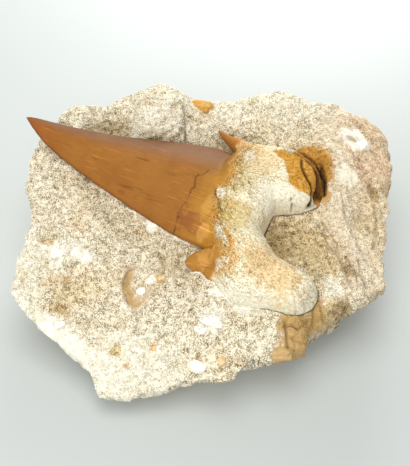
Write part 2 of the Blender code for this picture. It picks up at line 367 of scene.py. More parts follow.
@dataclass(frozen=True)
class Patch:
    """A rounded patch of one pigment with a ragged edge, in mm.

    Attributes:
        pigment: what tints it.
        place: its middle.
        reach: half its length and width.
        turn: degrees from the first axis to its length.
        strength: how much of the pigment shows.
        bare: how much of the loose sand relief is missing there.
        uneven: how ragged its edge is.
    """

    pigment: Pigment
    place: Place
    reach: Place
    turn: float = 0.0
    strength: float = 1.0
    bare: float = 0.0
    uneven: float = 1.0

    def cover(self, x: float, y: float, ragged: float) -> float:
        """Tell how much the patch covers a point; ragged moves its edge in and out.

        Args:
            x, y: the point, in mm.
            ragged: how far its edge is moved there.

        Returns:
            0 outside the patch, its strength inside.
        """
        away_x, away_y = x - self.place[0], y - self.place[1]
        limit = max(self.reach) * 1.6
        if abs(away_x) > limit or abs(away_y) > limit:
            return 0.0
        angle = math.radians(self.turn)
        along = (away_x * math.cos(angle) + away_y * math.sin(angle)) / self.reach[0]
        across = (away_y * math.cos(angle) - away_x * math.sin(angle)) / self.reach[1]
        return self.strength * fade(math.hypot(along, across) + self.uneven * ragged, 1.25, 0.75)


def patches_of(*groups: Sequence[Any]) -> tuple[Patch, ...]:
    """Make patches from groups of one pigment.

    Args:
        groups: a pigment, then rows of place, reach, turn, strength, bare and uneven.

    Returns:
        The patches, in the same order.
    """
    return tuple(Patch(pigment, *row) for pigment, *rows in groups for row in rows)


@dataclass(frozen=True)
class Crack:
    """A crack or a ridge along a line, in mm; a negative depth is a ridge."""

    route: tuple[Place, ...]
    width: float
    depth: float
    dark: float = 1.0

    def closeness(self, x: float, y: float) -> float:
        """Give 1 on the line, falling to 0 beside it.

        Args:
            x, y: the point, in mm.

        Returns:
            A share of 0 to 1.
        """
        margin = 2.5 * self.width
        if not min(p[0] for p in self.route) - margin < x < max(p[0] for p in self.route) + margin:
            return 0.0
        if not min(p[1] for p in self.route) - margin < y < max(p[1] for p in self.route) + margin:
            return 0.0
        return math.exp(-(distance_to_route(x, y, self.route) / self.width) ** 2)


@dataclass(frozen=True)
class Lumps:
    """Natural unevenness, in mm: how high its lumps are and how far apart.

    The shift moves the pattern, so that two of them don't run in step.
    """

    height: float
    size: float
    octaves: int = 3
    shift: tuple[float, float, float] = (0.0, 0.0, 0.0)

    def at(self, place: Vector, share: float = 1.0) -> float:
        """Give the height at a point, by a share of its full strength."""
        return self.height * share * grit(place + Vector(self.shift), self.size, self.octaves)


# --------------------------------------------------------------------------- finishes
@dataclass(frozen=True)
class FossilTooth:
    """Finish of fossil enameloid and root bone (apatite), grown and then mineralised.

    The enameloid is dense and takes a soft satin gloss, with fine scratches and growth
    lines toward the point. The root is porous bone: matt, cream, with fibres that fan out
    into the lobes and fine dark pores, thickest round the neck.
    """

    name: str = "fossil_enameloid_and_bone"
    enamel_roughness: float = 0.56
    bone_roughness: float = 0.85
    apatite_ior: float = 1.5
    specular_level: float = 0.13
    line_width: float = 0.30       # mm across a growth line
    line_length: float = 9.0       # mm
    scratch_width: float = 0.34    # mm; real ones are finer, drawn as coarse as they need
    scratch_length: float = 9.0    # mm
    scratch_slant: float = 1.5     # degrees
    pore_size: float = 0.30        # mm; vascular pores are finer, drawn as coarse as they need
    pore_gain: float = 0.20        # how much darker the most porous bone is
    fuzz_size: float = 0.625       # mm
    cloud_size: float = 6.0        # mm
    pattern_depth: float = 0.2     # mm
    bone_bump: float = 0.5
    enamel_bump: float = 0.12

    def make(self) -> bpy.types.Material:
        """Build the material.

        Returns:
            The material, which reads what the tooth is painted with.
        """
        material, tree, shader = start_material(self.name, {
            "IOR": self.apatite_ior, "Specular IOR Level": self.specular_level})
        pigment, enamel, porous, place, fibre = (
            add_node(tree, "Attribute", attribute_name=name).outputs[output]
            for name, output in (("pigment", "Color"), ("enamel", "Fac"), ("porous", "Fac"),
                                 ("tooth_place", "Vector"), ("fibre_place", "Vector")))
        enamel_tone, lines = self.enamel_pattern(tree, place)
        bone_tone, pores = self.bone_pattern(tree, place, fibre, porous)
        tone = add_node(tree, "Mix", {0: enamel, 6: bone_tone, 7: enamel_tone},
                        data_type="RGBA")
        colour = add_node(tree, "Mix", {0: 1.0, 6: pigment, 7: tone.outputs[2]},
                          **MULTIPLY)
        rough = add_node(tree, "MapRange", {
            "Value": enamel, "To Min": self.bone_roughness, "To Max": self.enamel_roughness})
        relief = add_node(tree, "Mix", {0: enamel, 2: pores, 3: lines},
                          data_type="FLOAT")
        strength = add_node(tree, "MapRange", {
            "Value": enamel, "To Min": self.bone_bump, "To Max": self.enamel_bump})
        bump = add_node(tree, "Bump", {
            "Strength": strength.outputs["Result"], "Distance": self.pattern_depth * MM,
            "Height": relief.outputs[0]})
        tree.links.new(colour.outputs[2], shader.inputs["Base Color"])
        tree.links.new(rough.outputs["Result"], shader.inputs["Roughness"])
        tree.links.new(bump.outputs["Normal"], shader.inputs["Normal"])
        return material

    def enamel_pattern(self, tree: bpy.types.NodeTree, place: Socket) -> tuple[Socket, Socket]:
        """Add the enameloid's clouds, growth lines and scratches.

        Args:
            tree: the material's nodes.
            place: the place in tooth space, in mm.

        Returns:
            The tone to multiply the pigment by, and the height of the growth lines.
        """
        stretch = (1 / self.line_length, 1 / self.line_width, 1 / self.line_width)
        along = add_node(tree, "Mapping", {"Vector": place, "Scale": stretch})
        lines = add_node(tree, "TexNoise", {
            "Vector": along.outputs["Vector"], "Scale": 1.0, "Detail": 2.0, "Roughness": 0.6})
        line_tone = add_node(tree, "ValToRGB", {"Fac": lines.outputs["Fac"]})
        ramp_stops(line_tone, ((0.26, (0.84, 0.80, 0.76)), (0.42, grey(0.98)),
                               (0.60, grey(1.03))))
        stretch = (1 / self.scratch_length, 1 / self.scratch_width, 0.0)
        slant = add_node(tree, "Mapping", {
            "Vector": place, "Scale": stretch,
            "Rotation": (0.0, 0.0, math.radians(self.scratch_slant))})
        scratches = add_node(tree, "TexNoise", {
            "Vector": slant.outputs["Vector"], "Scale": 1.0, "Detail": 0.0})
        scratch_tone = add_node(tree, "ValToRGB", {"Fac": scratches.outputs["Fac"]})
        ramp_stops(scratch_tone, ((0.18, (0.52, 0.44, 0.36)), (0.24, grey(1.0)),
                                  (0.72, grey(1.0)), (0.78, (1.55, 1.55, 1.45))))
        lined = add_node(tree, "Mix", {
            0: 1.0, 6: line_tone.outputs["Color"], 7: scratch_tone.outputs["Color"]}, **MULTIPLY)
        clouds = add_node(tree, "TexNoise", {
            "Vector": place, "Scale": 1 / self.cloud_size, "Detail": 4.0, "Roughness": 0.6})
        cloud_tone = add_node(tree, "ValToRGB", {"Fac": clouds.outputs["Fac"]})
        ramp_stops(cloud_tone, ((0.3, (0.88, 0.84, 0.80)), (0.5, grey(1.0)),
                                (0.7, (1.05, 1.07, 1.04))))
        tone = add_node(tree, "Mix", {
            0: 1.0, 6: lined.outputs[2], 7: cloud_tone.outputs["Color"]}, **MULTIPLY)
        return tone.outputs[2], lines.outputs["Fac"]

    def bone_pattern(self, tree: bpy.types.NodeTree, place: Socket, fibre: Socket,
                     porous: Socket) -> tuple[Socket, Socket]:
        """Add the bone's pores and fanning fibres.

        Args:
            tree: the material's nodes.
            place: the place in tooth space, in mm.
            fibre: the place along and between the fibres.
            porous: how thick the pores are, 0 to 1.

        Returns:
            The tone to multiply the pigment by, and the height of the pores.
        """
        specks = add_node(tree, "TexNoise", {
            "Vector": place, "Scale": 1 / self.pore_size, "Detail": 1.0, "Roughness": 0.5})
        raised = add_node(tree, "Math", {
            0: porous, 1: self.pore_gain, 2: specks.outputs["Fac"]}, operation="MULTIPLY_ADD")
        pores = add_node(tree, "ValToRGB", {"Fac": raised.outputs["Value"]})
        ramp_stops(pores, ((0.30, grey(1.06)), (0.60, grey(1.0)), (0.72, (0.70, 0.61, 0.44)),
                           (0.84, (0.44, 0.35, 0.22))))
        fans = add_node(tree, "TexNoise", {
            "Vector": fibre, "Scale": 1.5, "Detail": 2.0, "Roughness": 0.6})
        fan_tone = add_node(tree, "ValToRGB", {"Fac": fans.outputs["Fac"]})
        ramp_stops(fan_tone, ((0.34, (0.50, 0.42, 0.27)), (0.46, (0.90, 0.86, 0.76)),
                              (0.60, grey(1.08))))
        lining = add_node(tree, "MapRange", {
            "Value": porous, "To Min": 0.22, "To Max": 1.0})
        fuzz = add_node(tree, "TexNoise", {
            "Vector": place, "Scale": 1 / self.fuzz_size, "Detail": 4.0, "Roughness": 0.8})
        fuzz_tone = add_node(tree, "ValToRGB", {"Fac": fuzz.outputs["Fac"]})
        ramp_stops(fuzz_tone, ((0.34, (0.72, 0.65, 0.50)), (0.48, (0.97, 0.96, 0.94)),
                               (0.66, grey(1.06))))
        lined = add_node(tree, "Mix", {
            0: lining.outputs["Result"], 6: pores.outputs["Color"],
            7: fan_tone.outputs["Color"]}, **MULTIPLY)
        tone = add_node(tree, "Mix", {
            0: 1.0, 6: lined.outputs[2], 7: fuzz_tone.outputs["Color"]}, **MULTIPLY)
        return tone.outputs[2], pores.outputs["Color"]


@dataclass(frozen=True)
class PhosphateSandstone:
    """Finish of phosphate sandstone: sand cemented by chalky lime, dug away by hand.

    It is quite matt. Grains of cream, tan and grey phosphate show against pale cement,
    with painted shade in the pin-sized gaps between them.
    """

    name: str = "phosphate_sandstone"
    roughness: float = 0.95
    specular_level: float = 0.2
    grain_width: float = 0.38      # mm
    gap_width: float = 0.22        # mm
    cluster_size: float = 1.3      # mm, of the looser and tighter spots
    cluster_gain: float = 0.35     # how many more gaps the looser spots have
    stain_size: float = 4.5        # mm
    gap_depth: float = 0.15        # mm
    gap_bump: float = 0.4

    def make(self) -> bpy.types.Material:
        """Build the material.

        Returns:
            The material, which reads what the block is painted with.
        """
        material, tree, shader = start_material(self.name, {
            "Roughness": self.roughness, "Specular IOR Level": self.specular_level})
        pigment = add_node(tree, "Attribute", attribute_name="pigment")
        sandy = add_node(tree, "Attribute", attribute_name="sandy")
        coords = add_node(tree, "TexCoord").outputs["Object"]
        scaled = add_node(tree, "Mapping", {"Vector": coords, "Scale": (1 / MM,) * 3})
        place = scaled.outputs["Vector"]
        gaps = add_node(tree, "TexNoise", {
            "Vector": place, "Scale": 1 / self.gap_width, "Detail": 2.0, "Roughness": 0.6,
            "Distortion": 1.6})
        sand = self.sand_pattern(tree, place, gaps.outputs["Fac"])
        speckled = add_node(tree, "Mix", {
            0: sandy.outputs["Fac"], 6: (1.0, 1.0, 1.0, 1.0), 7: sand}, data_type="RGBA")
        stain = add_node(tree, "TexNoise", {
            "Vector": place, "Scale": 1 / self.stain_size, "Detail": 5.0, "Roughness": 0.62})
        stain_tone = add_node(tree, "ValToRGB", {"Fac": stain.outputs["Fac"]})
        ramp_stops(stain_tone, ((0.30, (0.82, 0.77, 0.66)), (0.48, grey(1.0)),
                                (0.68, grey(1.05))))
        weathered = add_node(tree, "Mix", {
            0: 1.0, 6: speckled.outputs[2], 7: stain_tone.outputs["Color"]}, **MULTIPLY)
        colour = add_node(tree, "Mix", {
            0: 1.0, 6: pigment.outputs["Color"], 7: weathered.outputs[2]}, **MULTIPLY)
        bump = add_node(tree, "Bump", {
            "Strength": self.gap_bump, "Distance": self.gap_depth * MM,
            "Height": gaps.outputs["Fac"]})
        tree.links.new(colour.outputs[2], shader.inputs["Base Color"])
        tree.links.new(bump.outputs["Normal"], shader.inputs["Normal"])
        return material

    def sand_pattern(self, tree: bpy.types.NodeTree, place: Socket, gaps: Socket) -> Socket:
        """Add the cemented grains, each of its own tone, and painted shade in the gaps between
        them.

        Args:
            tree: the material's nodes.
            place: the place in the block, in mm.
            gaps: the fine noise that the gaps come from.

        Returns:
            The tone to multiply the pigment by.
        """
        cells, edges = (
            add_node(tree, "TexVoronoi", {
                "Vector": place, "Scale": 1 / self.grain_width}, feature=feature)
            for feature in ("F1", "DISTANCE_TO_EDGE"))
        pick = add_node(tree, "SeparateColor", {"Color": cells.outputs["Color"]})
        grains = add_node(tree, "ValToRGB", {"Fac": pick.outputs["Red"]})
        ramp_stops(grains, ((0.0, (0.44, 0.40, 0.31)), (0.10, (0.60, 0.55, 0.45)),
                            (0.20, (0.92, 0.84, 0.74)), (0.38, (1.02, 0.96, 0.90)),
                            (0.55, (0.98, 1.0, 0.90)), (0.75, (1.06, 1.02, 0.98)),
                            (1.0, grey(1.12))))
        clusters = add_node(tree, "TexNoise", {
            "Vector": place, "Detail": 2.0, "Scale": 1 / self.cluster_size})
        width = add_node(tree, "MapRange", {
            "Value": clusters.outputs["Fac"], "From Min": 0.40, "From Max": 0.64,
            "To Min": 0.0, "To Max": 0.16})
        # Painted shade: dark lines along the edges between the grains.
        seam = add_node(tree, "Math", {
            0: edges.outputs["Distance"], 1: width.outputs["Result"]}, operation="SUBTRACT")
        grain_seam_shade = add_node(tree, "ValToRGB", {"Fac": seam.outputs["Value"]})
        ramp_stops(grain_seam_shade, ((0.0, (0.56, 0.51, 0.38)), (0.05, (0.93, 0.91, 0.86)),
                               (0.10, grey(1.0))))
        # Painted shade: dark spots in the gaps, more of them in the looser spots.
        spots = add_node(tree, "Math", {
            0: clusters.outputs["Fac"], 1: self.cluster_gain, 2: gaps},
            operation="MULTIPLY_ADD")
        gap_spot_shade = add_node(tree, "ValToRGB", {"Fac": spots.outputs["Value"]})
        ramp_stops(gap_spot_shade, ((0.70, grey(1.0)), (0.76, (0.52, 0.46, 0.36)),
                               (0.84, (0.26, 0.22, 0.16))))
        painted_gap_shade = add_node(tree, "Mix", {
            0: 1.0, 6: grain_seam_shade.outputs["Color"], 7: gap_spot_shade.outputs["Color"]}, **MULTIPLY)
        sand = add_node(tree, "Mix", {
            0: 1.0, 6: grains.outputs["Color"], 7: painted_gap_shade.outputs[2]}, **MULTIPLY)
        return sand.outputs[2]


@dataclass(frozen=True)
class SandGrain:
    """Finish of loose phosphate sand grains: dull pellets of cream, tan and grey apatite."""

    name: str = "phosphate_sand_grains"
    roughness: float = 0.8
    specular_level: float = 0.3
    dust_size: float = 0.2         # mm

    def make(self) -> bpy.types.Material:
        """Build the material; each grain has its own tone.

        Returns:
            The material, which reads what the grains are painted with.
        """
        material, tree, shader = start_material(self.name, {
            "Roughness": self.roughness, "Specular IOR Level": self.specular_level})
        pigment = add_node(tree, "Attribute", attribute_name="pigment")
        tone = add_node(tree, "Attribute", attribute_name="tone")
        shades = add_node(tree, "ValToRGB", {"Fac": tone.outputs["Fac"]})
        ramp_stops(shades, ((0.0, (0.48, 0.42, 0.31)), (0.08, (0.74, 0.68, 0.55)),
                            (0.20, (0.94, 0.86, 0.76)), (0.40, (1.0, 0.95, 0.90)),
                            (0.55, (0.97, 0.99, 0.90)), (1.0, grey(1.08))))
        coords = add_node(tree, "TexCoord").outputs["Object"]
        dust = add_node(tree, "TexNoise", {
            "Vector": coords, "Scale": 1 / (self.dust_size * MM), "Detail": 2.0})
        dust_tone = add_node(tree, "ValToRGB", {"Fac": dust.outputs["Fac"]})
        ramp_stops(dust_tone, ((0.3, grey(0.88)), (0.65, grey(1.05))))
        shaded = add_node(tree, "Mix", {
            0: 1.0, 6: shades.outputs["Color"], 7: dust_tone.outputs["Color"]}, **MULTIPLY)
        colour = add_node(tree, "Mix", {
            0: 1.0, 6: pigment.outputs["Color"], 7: shaded.outputs[2]}, **MULTIPLY)
        tree.links.new(colour.outputs[2], shader.inputs["Base Color"])
        return material


@dataclass(frozen=True)
class CementedScrap:
    """Finish of scraps cemented in the sand: worn bone and chalky pebbles, nearly matt."""

    name: str = "worn_bone_and_chalk_pebbles"
    roughness: float = 0.7
    mottle_size: float = 0.8       # mm

    def make(self) -> bpy.types.Material:
        """Build the material.

        Returns:
            The material, which reads what the scraps are painted with.
        """
        material, tree, shader = start_material(self.name, {"Roughness": self.roughness})
        pigment = add_node(tree, "Attribute", attribute_name="pigment")
        coords = add_node(tree, "TexCoord").outputs["Object"]
        mottle = add_node(tree, "TexNoise", {
            "Vector": coords, "Detail": 5.0, "Scale": 1 / (self.mottle_size * MM),
            "Roughness": 0.65})
        tone = add_node(tree, "ValToRGB", {"Fac": mottle.outputs["Fac"]})
        ramp_stops(tone, ((0.30, (0.72, 0.62, 0.50)), (0.48, grey(1.0)), (0.7, grey(1.06))))
        colour = add_node(tree, "Mix", {
            0: 1.0, 6: pigment.outputs["Color"], 7: tone.outputs["Color"]}, **MULTIPLY)
        tree.links.new(colour.outputs[2], shader.inputs["Base Color"])
        return material


# ------------------------------------------------------------------------------ tooth
@dataclass(frozen=True)
class ToothSpace:
    """The tooth's own directions: toward its point, toward the front edge, and up.

    Places are in mm from the survey mark, and neck is the middle of the crown's foot.
    """

    neck: tuple[float, float, float] = (6.5, 5.9, 25.5)
    point: tuple[float, float, float] = (-45.2, 30.4, 31.3)
    lean: float = 12.0             # degrees that the upper face leans toward the front

    def matrix(self) -> Matrix:
        """Give the matrix from tooth space to the part's frame, both in mm.

        Returns:
            The matrix.
        """
        along = (Vector(self.point) - Vector(self.neck)).normalized()
        lean = math.radians(self.lean)
        upright = Vector((0.0, -math.sin(lean), math.cos(lean)))
        normal = (upright - upright.dot(along) * along).normalized()
        axes = Matrix((along, normal.cross(along), normal)).transposed()
        return Matrix.Translation(Vector(self.neck) - Vector(SURVEY_SHIFT)) @ axes.to_4x4()


@dataclass
class Tooth:
    """The tooth: crown, two side cusplets and a root with two lobes, as one grown piece.

    Stations are in mm in tooth space. Crown rows are (toward the point, far edge, near
    edge). The other rows are (toward the point, far side, near side, height, depth).
    """

    space: ToothSpace = field(default_factory=ToothSpace)
    crown: tuple = (
        (57.4, -0.1, 0.1), (54.0, -0.9, 2.3), (49.0, -1.7, 4.9), (43.0, -2.9, 6.9),
        (33.0, -5.4, 9.4), (22.0, -9.1, 11.6), (12.0, -12.2, 13.3), (6.0, -12.8, 13.9),
        (0.0, -11.5, 13.8), (-5.0, -9.0, 12.0),
    )
    crown_top: float = 0.29        # swell of the upper face over the crown's width
    crown_bottom: float = 0.10
    edge_power: float = 1.7        # 2 gives a knife edge, 1 a round one
    trunk: tuple = (
        (5.4, -10.0, 4.0, 6.4, 3.0), (3.0, -15.2, 8.5, 8.6, 4.0), (-1.0, -17.0, 12.5, 9.6, 5.0),
        (-5.0, -16.6, 17.5, 9.4, 5.5), (-8.2, -14.0, 18.0, 7.6, 5.5), (-9.9, -10.0, 13.0, 4.0, 4.0),
    )
    far_lobe: tuple = (
        (4.0, -16.4, -9.0, 5.0, 3.5), (-2.0, -17.5, -3.0, 7.6, 5.0),
        (-7.5, -19.2, -1.0, 8.4, 6.0), (-11.5, -18.7, -3.2, 8.4, 6.0),
        (-15.5, -16.8, -5.6, 7.6, 6.0), (-17.6, -14.2, -7.4, 5.4, 4.5),
        (-18.9, -12.0, -9.2, 2.2, 2.0),
    )
    near_lobe: tuple = (
        (-2.0, 5.0, 17.6, 6.6, 4.0), (-6.5, 3.6, 21.6, 8.6, 5.5), (-11.0, 5.6, 23.6, 8.5, 6.0),
        (-15.5, 9.0, 22.4, 7.4, 6.0), (-20.0, 9.8, 21.0, 7.6, 6.0), (-25.0, 10.6, 19.9, 6.4, 5.5),
        (-27.5, 12.2, 17.6, 3.8, 3.0), (-28.4, 14.0, 16.0, 1.4, 1.2),
    )
    far_cusplet: tuple = (
        (12.0, -17.8, -17.4, 0.5, 0.3), (10.5, -17.4, -16.2, 1.2, 0.7),
        (8.0, -16.8, -14.8, 2.2, 1.2), (5.0, -16.8, -13.0, 3.6, 1.8),
        (1.0, -16.0, -11.0, 4.2, 2.2),
    )
    near_cusplet: tuple = (
        (3.4, 18.3, 18.9, 0.5, 0.4), (2.4, 16.3, 19.6, 1.5, 0.8), (0.6, 14.2, 20.0, 2.6, 1.2),
        (-1.4, 12.5, 19.3, 3.2, 1.6), (-3.4, 11.5, 20.4, 3.6, 2.0), (-6.5, 11.0, 20.5, 4.4, 2.6),
    )
    squareness: float = 2.4        # 2 is an ellipse, more is boxier
    crown_sections: int = 140
    round_sections: int = 48
    voxel: float = 0.26            # mm, finer than the grains of the rock
    enamel_step: float = 0.16      # mm that the enamel stands over the bone at its edge
    enamel_soft: float = 0.5       # half the width over which the enamel runs out
    enamel_rag: Lumps = Lumps(0.55, 1.6, 3, (7.0, 3.0, 1.0))
    soft_rounds: tuple[int, int, int] = (4, 10, 30)    # all, the tooth's foot, root bone
    foot_end: float = 9.0
    root_end: float = 4.0
    root_floor: float = 2.0
    # Where the crown's enamel ends: place across (toward the front), place along.
    enamel_edge: tuple = (
        (-12.0, 3.2), (-8.1, 3.0), (-6.6, 3.9), (-3.4, 2.2), (-0.4, 2.6), (1.2, 4.0), (3.7, 3.9),
        (5.7, 2.6), (7.0, 1.0), (8.9, 1.6), (9.7, 0.4), (12.2, -1.5), (13.3, -2.4), (15.5, -4.4),
    )
    far_cusplet_edge: float = 5.0  # place along, beyond far_cusplet_from across
    far_cusplet_from: float = -10.5
    near_cusplet_edge: float = -0.4
    near_cusplet_from: float = 14.6
    patches: tuple[Patch, ...] = patches_of(
        (Pigment.TAN, ((-17.4, 15.4), (7.4, 4.1), -8.0, 0.75, 0.0, 2.2),
         ((-12.0, 12.6), (5.0, 3.2), 30.0, 0.5, 0.0, 2.0),
         ((-2.8, -10.0), (4.6, 4.0), 20.0, 0.5, 0.0, 2.0),
         ((2.6, -13.0), (5.0, 3.0), 0.0, 0.6, 0.0, 2.0)),
        (Pigment.HONEY, ((4.2, -13.6), (2.2, 2.4), 0.0, 0.6)),
        (Pigment.STRAW, ((-4.0, 6.4), (3.6, 3.4), 40.0, 0.7)),
        (Pigment.HONEY, ((-1.4, 4.4), (1.2, 1.4), 0.0, 0.35),
         ((-4.6, 12.4), (2.8, 0.8), 137.0, 0.8), ((-3.4, 16.6), (3.8, 3.8), 0.0, 1.0)),
        (Pigment.TAN, ((-7.4, 17.6), (2.2, 3.2), 0.0, 0.8, 0.0, 2.0)),
        (Pigment.CHALK, ((-5.2, 18.0), (1.4, 1.0), 30.0, 0.8, 0.0, 2.5)),
        (Pigment.STRAW, ((-4.2, 14.8), (1.6, 1.3), 0.0, 0.8, 0.0, 2.0)),
        (Pigment.IVORY, ((-9.8, -2.4), (5.2, 4.6), 25.0, 0.9),
         ((-14.4, -5.0), (4.6, 2.2), 8.0, 0.9), ((-9.5, 6.4), (2.6, 4.0), 0.0, 0.5)),
        (Pigment.CHALK, ((1.8, 2.4), (1.2, 1.3), 0.0, 0.95),
         ((-2.6, 11.8), (3.4, 0.75), 137.0, 0.95), ((-9.6, 22.2), (3.2, 1.4), -20.0, 0.9)),
        (Pigment.IVORY, ((-15.0, 22.0), (6.4, 2.0), -5.0, 0.8),
         ((-26.0, 15.6), (2.2, 4.4), 0.0, 0.7)),
        (Pigment.GREY_SAND, ((0.6, -9.3), (2.4, 2.6), 0.0, 0.5)),
        (Pigment.CHALK, ((0.2, -9.4), (1.5, 1.8), 0.0, 0.8)),
        (Pigment.IVORY, ((-10.8, -9.9), (1.5, 0.7), 30.0, 0.7)),
    )
    # Outline of the broken, iron-stained end of the far lobe: place along, place across.
    rusty_outline: tuple[Place, ...] = (
        (-4.2, -13.9), (-5.9, -12.6), (-7.7, -12.2), (-9.0, -10.3), (-10.3, -8.6), (-11.7, -7.2),
        (-13.5, -6.8), (-15.5, -7.2), (-16.9, -7.8), (-18.5, -8.6), (-24.0, -12.0), (-22.0, -22.0),
        (-12.0, -22.0), (-8.0, -18.0), (-5.5, -15.6),
    )
    rusty_from: float = -3.5
    rusty_gap: Crack = Crack(((-7.5, -17.4), (-12.4, -16.8), (-16.6, -14.6), (-18.6, -11.0)),
                             1.0, 0.0, 0.9)
    rusty_rag: Lumps = Lumps(0.35, 1.5)
    rusty_lumps: Lumps = Lumps(0.22, 1.0)
    rusty_depth: float = 0.25
    enamel_patches: tuple[Patch, ...] = patches_of(
        (Pigment.OXBLOOD, ((7.0, 10.2), (2.0, 1.5), 0.0, 0.35, 0.0, 2.5)),
        (Pigment.RUST, ((5.6, 10.4), (3.4, 2.2), 0.0, 0.6, 0.0, 2.5)),
        (Pigment.HONEY, ((2.2, 11.2), (1.4, 1.6), 0.0, 0.5, 0.0, 2.0),
         ((3.6, 6.4), (1.2, 2.6), 0.0, 0.3, 0.0, 2.0),
         ((-1.2, 17.0), (1.8, 2.2), 0.0, 0.5, 0.0, 2.0)),
        (Pigment.OXBLOOD, ((24.8, 9.6), (1.0, 0.4), 0.0, 0.25),
         ((22.4, 1.1), (0.8, 0.4), 0.0, 0.25), ((24.0, 8.4), (2.2, 0.25), -4.0, 0.35)),
    )
    fractures: tuple[Crack, ...] = (
        Crack(((8.6, 14.6), (8.9, 13.4), (9.1, 12.0), (9.2, 10.5)), 0.10, 0.22, 0.85),
        Crack(((9.2, 10.5), (9.5, 9.6), (9.0, 9.0), (9.3, 8.2), (8.6, 7.0), (8.7, 5.1)),
              0.09, 0.12, 0.5),
        Crack(((8.7, 5.1), (8.9, 4.2), (8.3, 3.4), (8.9, 2.0), (9.2, 1.2), (9.0, 0.2)),
              0.12, 0.22, 0.9),
        Crack(((9.0, 0.2), (8.1, -0.1), (7.7, -0.8), (7.4, -1.6), (7.3, -2.3)), 0.10, 0.16, 0.65),
        Crack(((24.6, 8.3), (22.6, 8.0), (20.0, 7.9)), 0.12, 0.04, 0.35),
        Crack(((18.3, 9.2), (15.6, 9.0), (13.6, 8.9)), 0.10, 0.04, 0.25),
        Crack(((13.4, 1.4), (11.6, 1.2), (9.0, 0.8)), 0.10, 0.04, 0.3),
    )
    bone_cracks: tuple[Crack, ...] = (
        Crack(((-6.6, -17.0), (-9.5, -17.2), (-12.4, -16.5), (-14.6, -15.6), (-16.3, -14.3),
               (-17.6, -12.6), (-18.3, -10.8), (-18.5, -8.8)), 0.8, 2.0, 1.0),
        Crack(((-11.3, -15.0), (-12.3, -12.4), (-14.4, -10.6), (-15.9, -9.7), (-16.8, -8.9),
               (-17.4, -7.4), (-16.6, -5.6), (-15.6, -4.2)), 0.3, 0.9, 1.0),
        Crack(((-2.8, -2.6), (-3.9, -1.6), (-4.2, 0.2), (-4.9, 1.3)), 0.13, 0.25, 0.6),
        Crack(((3.9, 1.3), (3.3, 3.0), (2.0, 4.2), (0.9, 5.9), (-0.3, 6.6)), 0.16, 0.35, 0.55),
        Crack(((-0.2, 0.4), (-0.8, 1.2), (-1.6, 1.5)), 0.16, 0.3, 0.5),
        Crack(((-6.4, 19.6), (-8.2, 20.6), (-9.6, 21.0)), 0.13, 0.2, 0.4),
        Crack(((-3.9, 16.4), (-3.4, 17.6), (-4.4, 18.8)), 0.16, 0.25, 0.5),
    )
    pores: tuple[Place, ...] = (
        (-13.0, -5.0), (-13.5, -4.6), (-2.1, -1.0), (-3.0, -2.4), (-10.6, 8.6),
        (-5.2, 9.8), (-7.4, 12.4), (-12.8, 17.8),
    )
    pore_reach: float = 0.28
    pore_depth: float = 0.5
    lobe_end: Place = (-27.5, 15.6)
    fan_back: float = 8.0          # from the lobe's end to where its furrows fan out from
    furrows: float = 26.0          # in a full turn round that middle
    furrow_depth: float = 0.25
    furrow_waver: Lumps = Lumps(2.0, 2.0)
    under_side: float = 0.2        # height under which a point lies on the under face
    under_lumps: Lumps = Lumps(0.12, 2.5)
    growth_ripples: Lumps = Lumps(0.022, 0.8, 2)
    ripple_stretch: float = 7.0    # how much longer than wide a growth ripple is
    bone_lumps: Lumps = Lumps(0.13, 2.2)
    bone_grain: Lumps = Lumps(0.08, 0.7, 2)
    neck_grain: Lumps = Lumps(0.20, 1.1, 2, (2.0, 9.0, 4.0))
    neck_band: Place = (-7.0, -1.0)    # from the enamel's edge, where the bone is roughest
    pore_band: Place = (-6.5, -1.5)    # and where it is most porous
    pit_spacing: float = 1.15
    pit_depth: float = 0.22
    pit_edge: Place = (0.24, 0.06)     # from its middle, as a share of the spacing
    colour_rag: Lumps = Lumps(0.25, 1.8)
    colour_grain: Lumps = Lumps(0.15, 0.6, 2, (5.0, 1.0, 2.0))
    band_lumps: Lumps = Lumps(0.7, 2.0)
    chalk_lumps: Lumps = Lumps(1.0, 1.5, 3, (3.0, 3.0, 3.0))
    dun_lumps: Lumps = Lumps(1.0, 1.2, 3, (1.0, 6.0, 2.0))
    honey_lumps: Lumps = Lumps(1.0, 0.9)
    porous_lumps: Lumps = Lumps(0.25, 4.0)
    # Where the bone has no pores: middle and reach.
    smooth_bone: tuple = (((-11.0, -2.6), 5.5), ((-16.0, -5.0), 4.0), ((-22.0, 21.0), 5.0))
    fan_middle: Place = (9.0, 0.0)
    fibre_length: float = 2.0      # mm
    fibres: float = 32.0           # in each radian of the fan

